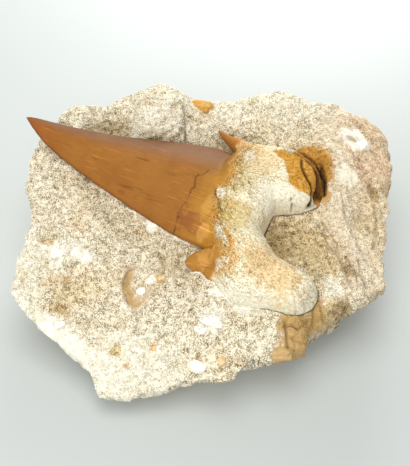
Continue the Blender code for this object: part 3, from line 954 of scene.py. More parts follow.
    def build(self) -> bpy.types.Object:
        """Model, sculpt and paint the tooth.

        Returns:
            The finished piece, in metres in the part's frame.
        """
        forms = bmesh.new()
        last = self.crown_sections - 1
        loft(forms, (self.crown_section(smooth_station(self.crown, i / last))
                     for i in range(self.crown_sections)))
        last = self.round_sections - 1
        for stations in (self.trunk, self.far_lobe, self.near_lobe, self.far_cusplet,
                         self.near_cusplet):
            loft(forms, (self.round_section(smooth_station(stations, i / last))
                         for i in range(self.round_sections)))
        skin = fused(forms, self.voxel)
        self.soften(skin)
        skin.normal_update()
        places, fibres, covers, pores, colours, moves = [], [], [], [], [], []
        for vertex in skin.verts:
            cover = self.enamel_cover(vertex.co)
            places.append(vertex.co.copy())
            fibres.append(self.fibre_place(vertex.co))
            covers.append(cover)
            pores.append(self.porous(vertex.co))
            colours.append(self.colour(vertex.co, cover))
            moves.append(self.relief(vertex.co, cover) * vertex.normal)
        for vertex, move in zip(skin.verts, moves):
            vertex.co += move
        matrix = Matrix.Scale(MM, 4) @ self.space.matrix()
        bmesh.ops.transform(skin, matrix=matrix, verts=skin.verts)
        piece = new_object("fossil_tooth_enamel_and_root", skin)
        piece.data.shade_smooth()
        paint(piece, "tooth_place", "FLOAT_VECTOR", places)
        paint(piece, "fibre_place", "FLOAT_VECTOR", fibres)
        paint(piece, "enamel", "FLOAT", covers)
        paint(piece, "porous", "FLOAT", pores)
        paint(piece, "pigment", "FLOAT_COLOR", colours)
        piece.data.materials.append(FossilTooth().make())
        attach(piece, BODY)
        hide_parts("tooth")
        return piece

    def crown_section(self, station: Sequence[float], points: int = 160) -> list[Vector]:
        """Give a lens section of the crown: knife edges, swollen above, nearly flat below.

        Args:
            station: a row of the crown table.
            points: how many points it has.

        Returns:
            The points, in order round it.
        """
        along, far, near = station
        width = near - far
        section = []
        for index in range(points):
            angle = 2 * math.pi * index / points
            ratio = self.crown_top if math.sin(angle) > 0 else -self.crown_bottom
            swell = ratio * abs(math.sin(angle)) ** self.edge_power
            across = (near + far) / 2 + width / 2 * math.cos(angle)
            section.append(Vector((along, across, width * swell)))
        return section

    def round_section(self, station: Sequence[float], points: int = 96) -> list[Vector]:
        """Give a rounded, slightly boxy section of a root lobe or cusplet.

        Args:
            station: a row of a lobe or cusplet table.
            points: how many points it has.

        Returns:
            The points, in order round it.
        """
        along, far, near, height, depth = station
        power = 2 / self.squareness
        section = []
        for index in range(points):
            angle = 2 * math.pi * index / points
            side = math.copysign(abs(math.cos(angle)) ** power, math.cos(angle))
            reach = height if math.sin(angle) > 0 else -depth
            across = (near + far) / 2 + (near - far) / 2 * side
            section.append(Vector((along, across, reach * abs(math.sin(angle)) ** power)))
        return section

    def soften(self, skin: bmesh.types.BMesh) -> None:
        """Round the joins between the fused forms, most of all round the neck and root.

        Args:
            skin: the fused tooth.
        """
        every, foot, root = self.soft_rounds
        smoothed(skin, skin.verts[:], every)
        smoothed(skin, [v for v in skin.verts if v.co.x < self.foot_end], foot)
        bone = [v for v in skin.verts if v.co.x < self.root_end and v.co.z > self.root_floor
                and self.enamel_cover(v.co) < 0.9]
        smoothed(skin, bone, root)

    def past_enamel(self, place: Vector) -> float:
        """Give how far along a point lies past the crown's enamel edge; bone is below 0."""
        return place.x - reading(self.enamel_edge, place.y)

    def enamel_cover(self, place: Vector) -> float:
        """Tell whether enamel (1) or bone (0) shows, with a ragged line between.

        Args:
            place: the point in tooth space.

        Returns:
            A share of 0 to 1.
        """
        along, across = place.x, place.y
        ragged = self.enamel_rag.at(place)
        crown = fade(self.past_enamel(place) + 1.5 * ragged, -self.enamel_soft, self.enamel_soft)
        if across < self.far_cusplet_from:
            crown = max(crown if along > 6.5 else 0.0,
                        fade(along - self.far_cusplet_edge + 1.6 * ragged, -0.25, 0.25))
        if across > self.near_cusplet_from:
            crown = max(crown, fade(along - self.near_cusplet_edge + 2.0 * ragged, -0.3, 0.3))
        return crown

    def relief(self, place: Vector, enamel: float) -> float:
        """Give the height in mm that a point of the skin stands out (or, below 0, in).

        Args:
            place: the point in tooth space.
            enamel: the enamel's share there.

        Returns:
            The height.
        """
        along, across = place.x, place.y
        if place.z < self.under_side:
            return self.under_lumps.at(place) * (1.0 - enamel)
        height = self.enamel_step * enamel
        stretched = Vector((along / self.ripple_stretch, across, place.z))
        height += self.growth_ripples.at(stretched, enamel)
        for fracture in self.fractures:
            height -= fracture.depth * enamel * fracture.closeness(along, across)
        if enamel < 1.0:
            height += self.bone_relief(place) * (1.0 - enamel)
        return height

    def bone_relief(self, place: Vector) -> float:
        """Give the height of the bone's lumps, pits, furrows, cracks and pores.

        Args:
            place: the point in tooth space.

        Returns:
            The height in mm.
        """
        along, across = place.x, place.y
        neck = fade(self.past_enamel(place), *self.neck_band)
        bone = self.bone_lumps.at(place) + self.bone_grain.at(place)
        bone += self.neck_grain.at(place, neck)
        pit = fade(noise.voronoi(place / self.pit_spacing)[0][0], *self.pit_edge)
        bone -= self.pit_depth * pit * (0.35 + neck)
        bone -= self.furrow_depth * self.furrow(place)
        for crack in self.bone_cracks:
            bone -= crack.depth * crack.closeness(along, across)
        for pore in self.pores:
            away = math.dist(pore, (along, across))
            bone -= self.pore_depth * fade(away, 1.6 * self.pore_reach, 0.0)
        if along < self.rusty_from:
            bone += self.rusty(place) * (self.rusty_lumps.at(place) - self.rusty_depth)
        return bone

    def furrow(self, place: Vector) -> float:
        """Tell how deep a point lies in the furrows that fan out at the near lobe's end.

        Args:
            place: the point in tooth space.

        Returns:
            A share of 0 to 1.
        """
        along, across = place.x, place.y
        near_end = fade(math.dist(self.lobe_end, (along, across)), 6.5, 4.0)
        if not near_end:
            return 0.0
        end_along, end_across = self.lobe_end
        bearing = math.atan2(across - end_across, end_along + self.fan_back - along)
        wave = math.sin(bearing * self.furrows + self.furrow_waver.at(place))
        return near_end * fade(wave, 0.2, 1.0)

    def rusty(self, place: Vector) -> float:
        """Tell how far a point lies in the broken, iron-stained end of the far lobe.

        Args:
            place: the point in tooth space.

        Returns:
            A share of 0 to 1.
        """
        closed = (*self.rusty_outline, self.rusty_outline[0])
        away = distance_to_route(place.x, place.y, closed)
        inside = enclosed(place.x, place.y, self.rusty_outline)
        return fade((away if inside else -away) + self.rusty_rag.at(place), -0.15, 0.15)

    def fibre_place(self, place: Vector) -> tuple[float, float, float]:
        """Give a point's place along and between the bone fibres that fan from the crown.

        Args:
            place: the point in tooth space.

        Returns:
            The place along, across and up.
        """
        away_x, away_y = place.x - self.fan_middle[0], place.y - self.fan_middle[1]
        bearing = math.atan2(away_y, -away_x)
        return (math.hypot(away_x, away_y) / self.fibre_length, bearing * self.fibres, place.z)

    def porous(self, place: Vector) -> float:
        """Tell how thick the bone's dark pores are at a point, 0 to 1.

        Args:
            place: the point in tooth space.

        Returns:
            A share of 0 to 1.
        """
        neck = fade(self.past_enamel(place), *self.pore_band)
        density = 0.42 + 0.5 * neck + self.porous_lumps.at(place)
        for middle, reach in self.smooth_bone:
            density *= 1.0 - fade(math.dist(middle, (place.x, place.y)), reach, 0.5 * reach)
        density *= fade(place.z, 1.5, 5.0)
        return min(1.0, max(0.0, density))

    def colour(self, place: Vector, enamel: float) -> Colour:
        """Give the pigment at a point, before the fine pattern of the finish.

        Args:
            place: the point in tooth space.
            enamel: the enamel's share there.

        Returns:
            The colour.
        """
        ragged = self.colour_rag.at(place) + self.colour_grain.at(place)
        mixed = blend(self.bone_colour(place, ragged), self.enamel_colour(place, ragged), enamel)
        if place.z > self.under_side:
            mixed = blend(mixed, Pigment.CRACK.rgb, self.darkness(place, enamel))
        return mixed

    def bone_colour(self, place: Vector, ragged: float) -> Colour:
        """Give the root's pigment: cream, browner in a band below the enamel.

        Args:
            place: the point in tooth space.
            ragged: how far the edges waver there.

        Returns:
            The colour.
        """
        along, across = place.x, place.y
        past = self.past_enamel(place)
        top = fade(place.z, 2.0, 5.0) * fade(across, -13.0, -9.0) * fade(across, 16.0, 12.5)
        band = top * fade(past, -8.0, -0.4)
        bone = blend(Pigment.CREAM.rgb, Pigment.STRAW.rgb,
                     min(1.0, band * (1.0 + self.band_lumps.at(place))))
        light = fade(self.chalk_lumps.at(place), 0.12, 0.4) * fade(past, -1.0, -2.2)
        bone = blend(bone, Pigment.CHALK.rgb, 0.8 * band * light)
        dull = fade(self.dun_lumps.at(place), 0.08, 0.4)
        bone = blend(bone, Pigment.DUN.rgb, 0.6 * band * dull)
        if along < self.lobe_end[0] + self.fan_back:
            bone = blend(bone, Pigment.DUN.rgb, 0.55 * self.furrow(place))
        bone = blend(bone, Pigment.HONEY.rgb, 0.75 * top * fade(past + 2.0 * ragged, -2.6, -0.3))
        for patch in self.patches:
            bone = blend(bone, patch.pigment.rgb, patch.cover(along, across, ragged))
        if along < self.rusty_from:
            rusty = self.rusty(place)
            rust = blend(Pigment.OCHRE.rgb, Pigment.HONEY.rgb,
                         fade(self.honey_lumps.at(place), 0.0, 0.5))
            bone = blend(bone, rust, rusty)
            gap = self.rusty_gap
            bone = blend(bone, Pigment.OXBLOOD.rgb,
                         gap.dark * rusty * gap.closeness(along, across))
        return bone

    def enamel_colour(self, place: Vector, ragged: float) -> Colour:
        """Give the crown's pigment: gold at its foot, amber, and rusty at the point.

        Args:
            place: the point in tooth space.
            ragged: how far the edges waver there.

        Returns:
            The colour.
        """
        along, across = place.x, place.y
        shell = blend(Pigment.GOLD.rgb, Pigment.AMBER.rgb, fade(along + 3.0 * ragged, 2.0, 11.0))
        shell = blend(shell, Pigment.RUST.rgb, 0.75 * fade(along + 4.0 * ragged, 40.0, 56.0))
        far, near = self.edges_at(along)
        if far < across < near:
            share = (across - far) / (near - far)
            # Painted shade and sheen: the crown's far half is mixed toward a darker, greyer umber,
            # standing in for how light falls on it.
            shell = blend(shell, Pigment.FAR_HALF_SHADE_AND_SHEEN.rgb, 0.9 * fade(share + 0.1 * ragged, 0.55, 0.15)
                          * fade(along, 0.0, 7.0))
            edge = min(across - far, near - across)
            shell = blend(shell, Pigment.OXBLOOD.rgb, 0.5 * fade(edge, 0.7, 0.1))
        else:
            shell = blend(blend(shell, Pigment.RUST.rgb, 0.35), Pigment.HONEY.rgb, 0.12)
        for patch in self.enamel_patches:
            shell = blend(shell, patch.pigment.rgb, patch.cover(along, across, ragged))
        return shell

    def darkness(self, place: Vector, enamel: float) -> float:
        """Tell how dark the dirt in the cracks and pores makes a point.

        Args:
            place: the point in tooth space.
            enamel: the enamel's share there.

        Returns:
            A share of 0 to 1.
        """
        along, across = place.x, place.y
        dark = 0.0
        for cracks, share in ((self.fractures, enamel), (self.bone_cracks, 1.0 - enamel)):
            for crack in cracks:
                dark = max(dark, crack.dark * share * crack.closeness(along, across))
        for pore in self.pores:
            near_pore = fade(math.dist(pore, (along, across)), 1.5 * self.pore_reach, 0.0)
            dark = max(dark, 0.8 * near_pore * (1.0 - enamel))
        return dark

    def edges_at(self, along: float) -> Place:
        """Give the crown's far and near edges at a place along it.

        Args:
            along: the place along the crown.

        Returns:
            The far and the near edge.
        """
        rising = self.crown[::-1]
        far = reading([(row[0], row[1]) for row in rising], along)
        near = reading([(row[0], row[2]) for row in rising], along)
        return far, near


# ------------------------------------------------------------------------------- rock
@dataclass(frozen=True)
class Rise:
    """A swelling, or with a negative height a hollow, of the block's upper face, in mm."""

    place: Place
    reach: Place
    height: float
    flatness: float = 2.4          # 2 is a bell, more has a flatter crown

    def at(self, x: float, y: float) -> float:
        """Give the height added at a point."""
        away = math.hypot((x - self.place[0]) / self.reach[0], (y - self.place[1]) / self.reach[1])
        return self.height * math.exp(-away ** self.flatness) if away < 3.0 else 0.0


@dataclass
class RockBlock:
    """The block of phosphate sandstone, with the pocket that the tooth lies in.

    Places in the tables are in mm from the survey mark.
    """

    rim: tuple = (
        (45.2, 11.8, 20.5), (46.6, 17.8, 21.5), (47.2, 22.5, 22.6), (46.2, 28.0, 24.0),
        (44.7, 31.3, 24.7), (41.2, 34.1, 25.8), (36.5, 36.0, 27.0), (33.3, 37.6, 27.6),
        (27.5, 37.2, 28.5), (23.2, 39.0, 29.8), (19.0, 39.6, 31.0), (11.0, 38.2, 29.4),
        (4.5, 37.3, 28.8), (-2.7, 37.8, 30.0), (-6.8, 39.2, 32.0), (-11.0, 39.5, 33.6),
        (-15.2, 39.5, 32.4), (-20.3, 38.5, 30.0), (-26.0, 36.9, 28.6), (-34.3, 36.8, 28.2),
        (-36.5, 34.8, 27.8), (-42.0, 26.1, 26.3), (-43.9, 20.6, 24.2), (-44.7, 14.5, 22.4),
        (-42.3, 8.3, 20.5), (-42.5, 4.5, 20.0), (-43.5, -1.5, 19.2), (-45.3, -9.0, 18.4),
        (-45.6, -14.9, 17.2), (-42.3, -17.8, 14.2), (-36.9, -22.7, 11.2), (-27.2, -29.6, 8.0),
        (-24.4, -36.0, 6.3), (-17.6, -36.7, 5.6), (-8.2, -35.3, 8.0), (-6.2, -33.9, 8.6),
        (0.0, -34.6, 11.0), (5.8, -35.1, 12.4), (9.8, -30.9, 12.9), (18.0, -30.8, 13.1),
        (23.0, -27.6, 13.7), (24.6, -23.8, 14.3), (29.4, -21.1, 15.0), (34.9, -18.6, 16.0),
        (42.5, -13.6, 17.8), (42.2, -7.7, 18.4), (43.9, 2.8, 19.3),
    )
    rim_latitude: float = -0.32    # sphere latitude that becomes the rim
    rim_catch: float = 0.006       # points this near the rim's latitude are put on the rim
    rim_crispness: float = 14.0
    top_height: float = 24.2
    top_rise: float = 0.176        # rise toward the back, per unit of length
    crease: tuple[Place, ...] = (
        (-48.0, -1.0), (-34.6, -7.0), (-17.4, -17.0), (8.1, -19.6), (22.0, -22.5), (46.0, -17.0),
    )
    apron_slope: float = 0.42      # extra fall in front of the crease
    rises: tuple[Rise, ...] = (
        Rise((-11.2, 32.9), (7.0, 8.2), 5.0, 6.0),     # squarish lump behind the crown
        Rise((19.0, 36.5), (13.0, 6.0), 1.8),          # ridge along the back
        Rise((-1.5, 36.0), (3.0, 3.0), 1.0),           # bone chip at the back edge
        Rise((-24.6, 30.0), (6.4, 5.0), -3.2, 3.0),    # hollow behind the crown
        Rise((-4.0, 24.0), (15.0, 4.0), -2.4),         # trough along the crown's far edge
        Rise((21.5, -3.0), (9.0, 7.0), -4.0),          # hollow in the notch of the root
        Rise((44.0, 4.0), (9.0, 24.0), -2.4),          # right side falls away
        Rise((33.0, -4.0), (3.0, 7.0), 1.2),           # small ridge right of the root
        Rise((29.5, 17.5), (4.5, 6.5), 1.8),           # rusty collar at the far lobe's end
        Rise((-16.1, -15.0), (3.0, 4.9), -1.9, 5.0),   # oval pit with a scrap of bone
        Rise((-10.6, -13.6), (1.2, 1.2), 0.7),         # knob beside the pit
        Rise((17.3, -30.0), (3.0, 2.0), 1.0),          # rusty knob at the front edge
        Rise((24.5, -22.5), (6.0, 4.0), -1.2),         # sunk brown patch at the front right
        Rise((4.0, -1.0), (12.0, 9.0), -1.2),          # bowl dug round the near cusplet
        Rise((-32.0, -9.0), (5.0, 3.0), -0.5),         # shallow scoop with chalk at the left
        Rise((8.0, -21.5), (8.0, 2.2), -0.5),          # groove below the near lobe
        Rise((29.8, 8.4), (3.2, 4.6), 1.8),            # rock that stands against the far lobe's end
        Rise((-22.5, 6.4), (2.2, 0.9), -0.9),          # small pits and scoops
        Rise((-19.0, 3.2), (1.2, 1.0), -0.8),
        Rise((-41.0, -14.5), (2.4, 0.7), -0.8),
        Rise((-36.5, -17.5), (3.0, 1.6), -0.9),
        Rise((-9.0, -16.5), (3.4, 1.0), -0.7),
        Rise((-24.0, 13.0), (2.6, 1.2), -0.7),
        Rise((-38.0, 12.0), (1.4, 1.2), -0.7),
        Rise((-4.0, -8.5), (2.2, 1.5), -0.8),
        Rise((-1.0, -13.0), (1.6, 1.2), -0.7),
        Rise((13.0, -25.0), (1.6, 1.0), -0.6),
        Rise((36.0, 2.0), (1.2, 4.5), -0.9),
        Rise((39.5, 8.0), (1.0, 4.0), -0.7),
        Rise((31.5, 30.5), (4.5, 1.2), -0.8),
        Rise((-1.0, 28.8), (2.2, 1.6), -0.7),
    )
    under_faces: tuple = (
        (2.0, 24.0, 0.85), (48.0, 33.0, 1.35), (88.0, 29.0, 2.90), (124.0, 31.0, 1.70),
        (168.0, 25.0, 0.95), (207.0, 21.0, 0.55), (248.0, 33.0, 0.70), (286.0, 23.0, 0.90),
        (324.0, 21.0, 0.72),
    )
    blunt_band: float = 2.2
    blunt_share: float = 0.02
    ragged_size: float = 5.0
    ragged_share: float = 0.010    # of the radius
    underside_floor: float = -3.0
    top_sway: Lumps = Lumps(0.75, 9.0)
    under_sway: Lumps = Lumps(1.3, 9.0)
    lumps: Lumps = Lumps(0.36, 1.9)
    swells: Lumps = Lumps(0.50, 4.6, 2)
    knob_spacing: float = 1.1
    knob_height: float = 0.26
    pits: Lumps = Lumps(1.0, 3.1, 2, (9.0, 4.0, 2.0))
    pit_depth: float = 0.9
    pit_edge: Place = (0.28, 0.55)
    scraped_x: Place = (0.0, -16.0)
    scraped_y: Place = (20.0, 6.0)
    scrapes: Lumps = Lumps(0.40, 1.5, 2)   # left by the tool on the front left
    combing: Lumps = Lumps(1.2, 2.6, 2)    # worn slanting ridges on the right
    combed_x: Place = (22.0, 36.0)
    combed_y: Place = (36.0, 24.0)
    comb_hue: Lumps = Lumps(1.0, 2.6, 2)
    hue_x: Place = (22.0, 34.0)
    hue_y: Place = (40.0, 28.0)
    sand_drift: Lumps = Lumps(1.0, 11.0)
    colour_rag: Lumps = Lumps(0.45, 2.2)
    colour_grain: Lumps = Lumps(0.35, 0.7, 2, (5.0, 1.0, 2.0))
    seam_reach: float = 0.8        # mm from the tooth
    pocket_gap: float = 0.05       # mm left round the tooth in the pocket
    top_depth: float = 7.0         # mm that the marks of the upper face reach down its sides
    root_from: float = 12.0        # mm; beyond it the tooth's seam is a painted dark shadow line
    patches: tuple[Patch, ...] = patches_of(
        (Pigment.PALE_SAND, ((-31.0, -26.6), (24.0, 3.4), -38.0, 0.9, 0.8),
         ((-16.4, -32.0), (12.0, 7.0), -10.0, 0.8, 0.55),
         ((-42.4, -7.0), (3.5, 14.0), 5.0, 0.7, 0.4), ((4.6, -28.0), (20.0, 9.0), 5.0, 0.45)),
        (Pigment.WARM_SAND, ((36.6, 11.0), (11.0, 30.0), 0.0, 0.8, 0.35)),
        (Pigment.ROSE_SAND, ((42.6, 23.0), (7.0, 14.0), 0.0, 0.8, 0.2)),
        (Pigment.PALE_SAND, ((12.6, 34.5), (22.0, 4.0), 0.0, 0.6, 0.3)),
        # Grey sand: in the hollow behind the crown and the trough along the tooth's far edge it is
        # painted shade from the crown; the other grey patches darken the sand round the near
        # cusplet and in a faint band below the crown's near edge.
        (Pigment.GREY_SAND, ((-24.4, 28.5), (6.0, 4.0), 0.0, 0.75),
         ((-5.4, 23.4), (14.0, 2.2), -8.0, 0.6), ((6.6, 23.6), (6.0, 2.6), -5.0, 0.6),
         ((12.1, 24.6), (3.0, 2.0), 0.0, 0.6), ((-3.4, -8.0), (9.0, 7.0), 0.0, 0.4),
         ((-20.0, 1.5), (20.0, 4.0), -43.0, 0.3)),
        (Pigment.BROWN_SAND, ((21.1, -2.5), (8.5, 6.5), -10.0, 0.95),
         ((27.6, -9.5), (6.0, 5.0), -40.0, 0.8)),
        (Pigment.DUN, ((17.6, -2.0), (2.4, 4.5), 20.0, 0.5)),
        (Pigment.BROWN_SAND, ((41.6, 4.0), (4.0, 9.0), 0.0, 0.5)),
        (Pigment.CLAY, ((21.2, -24.6), (4.2, 6.4), -16.0, 1.0, 0.75),
         ((26.6, -22.6), (4.6, 4.6), 0.0, 1.0, 0.65)),
        (Pigment.BROWN_SAND, ((30.6, -20.0), (3.0, 3.4), 0.0, 0.8, 0.3)),
        (Pigment.PALE_SAND, ((29.6, -15.5), (2.6, 3.0), 0.0, 0.9, 0.3)),
        (Pigment.IRON, ((28.2, 15.6), (3.6, 6.0), 12.0, 1.0, 0.35, 0.7),
         ((25.4, 20.4), (3.0, 1.9), -25.0, 1.0, 0.35, 0.7),
         ((29.0, 8.8), (1.3, 2.6), 0.0, 0.9, 0.8)),
        (Pigment.OXBLOOD, ((25.4, 18.6), (5.0, 1.0), -40.0, 0.6, 0.4),
         ((28.9, 12.4), (0.9, 4.2), 0.0, 0.5, 0.4)),
        (Pigment.CHALK, ((37.6, 25.9), (4.0, 2.9), -38.0, 1.0, 0.9, 0.5)),
        (Pigment.DUN, ((36.9, 26.0), (1.5, 0.45), -50.0, 0.6, 0.9, 0.6)),
        (Pigment.IVORY, ((34.4, 14.3), (2.9, 2.8), 0.0, 0.95, 0.6)),
        (Pigment.DUN, ((34.1, -11.0), (2.6, 1.1), -60.0, 0.7),
         ((41.2, 11.3), (3.2, 0.9), -70.0, 0.65), ((31.6, -19.5), (2.6, 1.4), 30.0, 0.7),
         ((36.4, 4.0), (4.0, 0.8), -72.0, 0.3)),
        (Pigment.CHALK, ((-39.2, -5.7), (2.2, 1.8), 0.0, 0.8, 0.45),
         ((-34.6, -6.6), (2.3, 3.0), 0.0, 0.9, 0.45), ((-30.6, -5.6), (2.2, 2.2), 0.0, 0.9, 0.45),
         ((-27.8, -7.6), (2.2, 2.0), 0.0, 0.9, 0.45),
         ((-33.8, -20.9), (1.4, 0.9), 0.0, 1.0, 0.45),
         ((1.4, -23.2), (3.2, 2.4), -30.0, 0.9, 0.45),
         ((-1.2, -24.8), (1.3, 1.0), 0.0, 0.9, 0.45),
         ((-18.2, -19.6), (1.6, 1.0), 0.0, 0.9, 0.45), ((-13.0, -0.4), (1.4, 1.3), 0.0, 1.0, 0.9),
         ((-17.9, 26.6), (1.8, 1.8), 0.0, 0.9, 0.7), ((3.0, -17.4), (2.6, 1.3), -25.0, 0.9, 0.8),
         ((8.6, -20.6), (3.6, 1.0), -10.0, 0.7, 0.7)),
        (Pigment.PALE_SAND, ((-12.0, 29.0), (6.4, 3.4), 0.0, 0.8, 0.3)),
        (Pigment.CLAY, ((-32.3, -12.5), (1.3, 1.1), 0.0, 0.6),
         ((-34.4, -17.8), (2.6, 1.1), -30.0, 0.6)),
        (Pigment.TAN, ((-37.9, -3.8), (2.4, 0.7), 5.0, 0.7)),
        (Pigment.BROWN_SAND, ((-32.4, -14.5), (6.0, 3.0), -20.0, 0.5)),
        (Pigment.CLAY, ((-16.2, -15.2), (3.0, 5.1), 0.0, 0.95, 1.0, 0.2)),
        (Pigment.SAND, ((-15.2, -13.9), (2.1, 3.5), 0.0, 0.85, 0.0, 0.6)),
        (Pigment.STRAW, ((-10.4, -14.2), (1.2, 0.9), 0.0, 0.8, 0.5),
         ((-20.5, -27.6), (1.6, 1.2), 0.0, 0.7)),
        (Pigment.HONEY, ((-11.9, -28.0), (0.8, 1.0), 0.0, 0.6)),
        (Pigment.OCHRE, ((-18.3, -31.0), (0.7, 0.5), 0.0, 0.6)),
        (Pigment.CLAY, ((-1.4, -30.2), (0.6, 1.0), 20.0, 0.7),
         ((3.6, -31.4), (0.7, 0.9), 0.0, 0.6)),
        (Pigment.HONEY, ((17.2, -30.2), (1.8, 1.2), 0.0, 0.6, 0.6)),
    )
    cracks: tuple[Crack, ...] = (
        Crack(((-5.5, 32.6), (-5.0, 29.2), (-5.0, 26.2)), 0.22, 0.9, 0.7),
        Crack(((32.9, 10.7), (33.0, 7.9), (33.3, 3.5)), 0.14, 0.4, 0.4),
        Crack(((18.2, -23.6), (18.7, -27.2), (19.2, -30.2)), 0.3, 0.8, 0.5),
        Crack(((25.0, -19.4), (24.8, -22.6), (24.6, -25.4)), 0.2, 0.5, 0.5),
        Crack(((18.0, -24.6), (19.8, -24.4), (21.2, -24.9)), 0.25, 0.5, 0.8),
        Crack(((28.2, 3.5), (31.1, -3.0), (33.3, -9.4), (35.7, -15.7)), 0.5, -0.9, 0.0),
        Crack(((25.6, 1.5), (28.4, -4.5), (30.4, -10.0), (32.2, -14.5)), 0.45, -0.7, 0.0),
        Crack(((27.0, 2.5), (29.8, -4.0), (31.9, -9.8), (34.0, -15.0)), 0.4, 0.6, 0.4),
        Crack(((33.4, 4.0), (36.2, -3.0), (38.4, -9.0)), 0.4, 0.5, 0.25),
        Crack(((38.6, 20.0), (40.6, 12.0), (41.6, 4.0), (40.2, -4.0)), 0.5, 0.6, 0.2),
        Crack(((21.6, 21.9), (24.6, 18.9), (27.5, 16.9), (29.2, 12.0), (28.7, 8.0)),
              0.6, 1.8, 1.25),
        Crack(((19.0, -26.6), (22.0, -27.4), (25.0, -26.2)), 0.2, 0.4, 0.4),
        Crack(((26.4, -19.6), (27.6, -22.4), (27.2, -25.0)), 0.2, 0.4, 0.35),
        Crack(((36.0, -8.0), (36.2, -11.6), (37.6, -14.6)), 0.2, 0.5, 0.6),
        Crack(((-43.4, -11.5), (-38.4, -16.5), (-32.4, -21.0)), 0.5, 0.4, 0.0),
        Crack(((-16.0, -10.2), (-17.8, -11.4), (-19.0, -14.0), (-18.9, -16.6), (-17.6, -19.4)),
              0.2, 0.15, 0.5),
    )

    def build(self, tooth: BVHTree) -> bpy.types.Object:
        """Model, sculpt and paint the block.

        Args:
            tooth: the finished tooth's skin, in metres.

        Returns:
            The finished piece.
        """
        skin = bmesh.new()
        bmesh.ops.create_icosphere(skin, subdivisions=7, radius=1.0)
        for vertex in skin.verts:
            vertex.co = self.skin_point(vertex.co.normalized())
        whole = skin.verts[:] + skin.edges[:] + skin.faces[:]
        cut = bmesh.ops.bisect_plane(skin, geom=whole, dist=1e-4, plane_co=(0, 0, 0),
                                     plane_no=(0, 0, 1), clear_inner=True)["geom_cut"]
        outline = [item for item in cut if isinstance(item, bmesh.types.BMEdge)]
        bmesh.ops.holes_fill(skin, edges=outline, sides=0)
        bmesh.ops.triangulate(skin, faces=[face for face in skin.faces if len(face.verts) > 4])
        self.refine(skin, tooth)
        skin.normal_update()
        moves = [self.relief(vertex.co, vertex.normal) * vertex.normal for vertex in skin.verts]
        for vertex, move in zip(skin.verts, moves):
            if vertex.co.z > 0.3:
                vertex.co += move
        self.sink_pocket(skin, tooth)
        colours, sandy = [], []
        for vertex in skin.verts:
            colour, bare = self.colour_with_painted_seam_shade(vertex.co, tooth)
            colours.append(colour)
            sandy.append(1.0 - bare)
        bmesh.ops.scale(skin, vec=(MM, MM, MM), verts=skin.verts)
        piece = new_object("sandstone_block", skin)
        piece.data.shade_smooth()
        paint(piece, "pigment", "FLOAT_COLOR", colours)
        paint(piece, "sandy", "FLOAT", sandy)
        piece.data.materials.append(PhosphateSandstone().make())
        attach(piece, BODY)
        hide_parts("matrix")
        return piece

    def rim_at(self, angle: float) -> tuple[float, float]:
        """Give the rim's radius and height in a direction from the middle.

        Args:
            angle: the direction, in radians.

        Returns:
            The radius and the height, in mm.
        """
        heading = Vector((math.cos(angle), math.sin(angle)))
        shift = Vector(SURVEY_SHIFT[:2])
        for index, start in enumerate(self.rim):
            end = self.rim[(index + 1) % len(self.rim)]
            first = Vector(start[:2]) - shift
            run = Vector(end[:2]) - shift - first
            turn = heading.cross(run)
            if abs(turn) < 1e-9:
                continue
            share = first.cross(heading) / turn
            radius = first.cross(run) / turn
            if radius > 0 and 0 <= share <= 1:
                return radius, start[2] + (end[2] - start[2]) * share
        raise ValueError("the rim doesn't enclose the middle")

    def top_at(self, x: float, y: float) -> float:
        """Give the height of the upper face, before its edge turns over.

        Args:
            x, y: the point, in mm from the survey mark.

        Returns:
            The height in mm.
        """
        height = self.top_height + self.top_rise * y
        height -= self.apron_slope * max(0.0, reading(self.crease, x) - y)
        return height + sum(rise.at(x, y) for rise in self.rises)

    def under_at(self, x: float, y: float) -> float:
        """Give the height of the broken faces underneath.

        Args:
            x, y: the point, in mm.

        Returns:
            The height in mm.
        """
        rises = []
        for degrees, foot, slope in self.under_faces:
            angle = math.radians(degrees)
            rises.append(slope * (x * math.cos(angle) + y * math.sin(angle) - foot))
        return max(rises)

    def skin_point(self, direction: Vector) -> Vector:
        """Give the place on the block's skin for a direction on the unit sphere.

        Args:
            direction: a unit vector.

        Returns:
            The place in the part's frame, in mm.
        """
        angle = math.atan2(direction.y, direction.x)
        radius, rim_height = self.rim_at(angle)
        around = Vector((math.cos(angle), math.sin(angle), 0.3)) * radius
        radius *= 1.0 + self.ragged_share * noise.noise(around / self.ragged_size)
        latitude = direction.z
        if abs(latitude - self.rim_latitude) < self.rim_catch:
            latitude = self.rim_latitude
        top = latitude >= self.rim_latitude
        pole = 1.0 if top else -1.0
        level = (latitude - self.rim_latitude) / (pole - self.rim_latitude)
        share = math.sqrt(max(0.0, 1.0 - level))
        reach = share * radius
        from_origin = Vector((reach * math.cos(angle), reach * math.sin(angle), 0.0))
        x, y, _ = from_origin + Vector(SURVEY_SHIFT)
        if top:
            turned = math.sqrt(1.0 - share ** self.rim_crispness)
            height = rim_height + (self.top_at(x, y) - rim_height) * turned
            height += self.top_sway.at(Vector((x, y, height)), turned)
        else:
            inward = min(1.0, (1.0 - share) / self.blunt_share)
            height = self.under_at(from_origin.x, from_origin.y)
            height += self.under_sway.at(Vector((x, y, height)))
            height = max(min(height, rim_height - self.blunt_band * math.sqrt(inward)),
                         self.underside_floor)
        return from_origin + Vector((0.0, 0.0, height))

    def refine(self, skin: bmesh.types.BMesh, tooth: BVHTree) -> None:
        """Split the faces of the upper side that the tooth doesn't hide.

        Args:
            skin: the block.
            tooth: the finished tooth's skin, in metres.
        """
        edges = set()
        for face in skin.faces:
            middle = face.calc_center_median()
            if face.normal.z > 0.35 and middle.z > 4.0:
                start = Vector((middle.x * MM, middle.y * MM, 1.0))
                if tooth.ray_cast(start, Vector((0.0, 0.0, -1.0)))[0] is None:
                    edges.update(face.edges)
        bmesh.ops.subdivide_edges(skin, edges=list(edges), cuts=1, use_grid_fill=True)

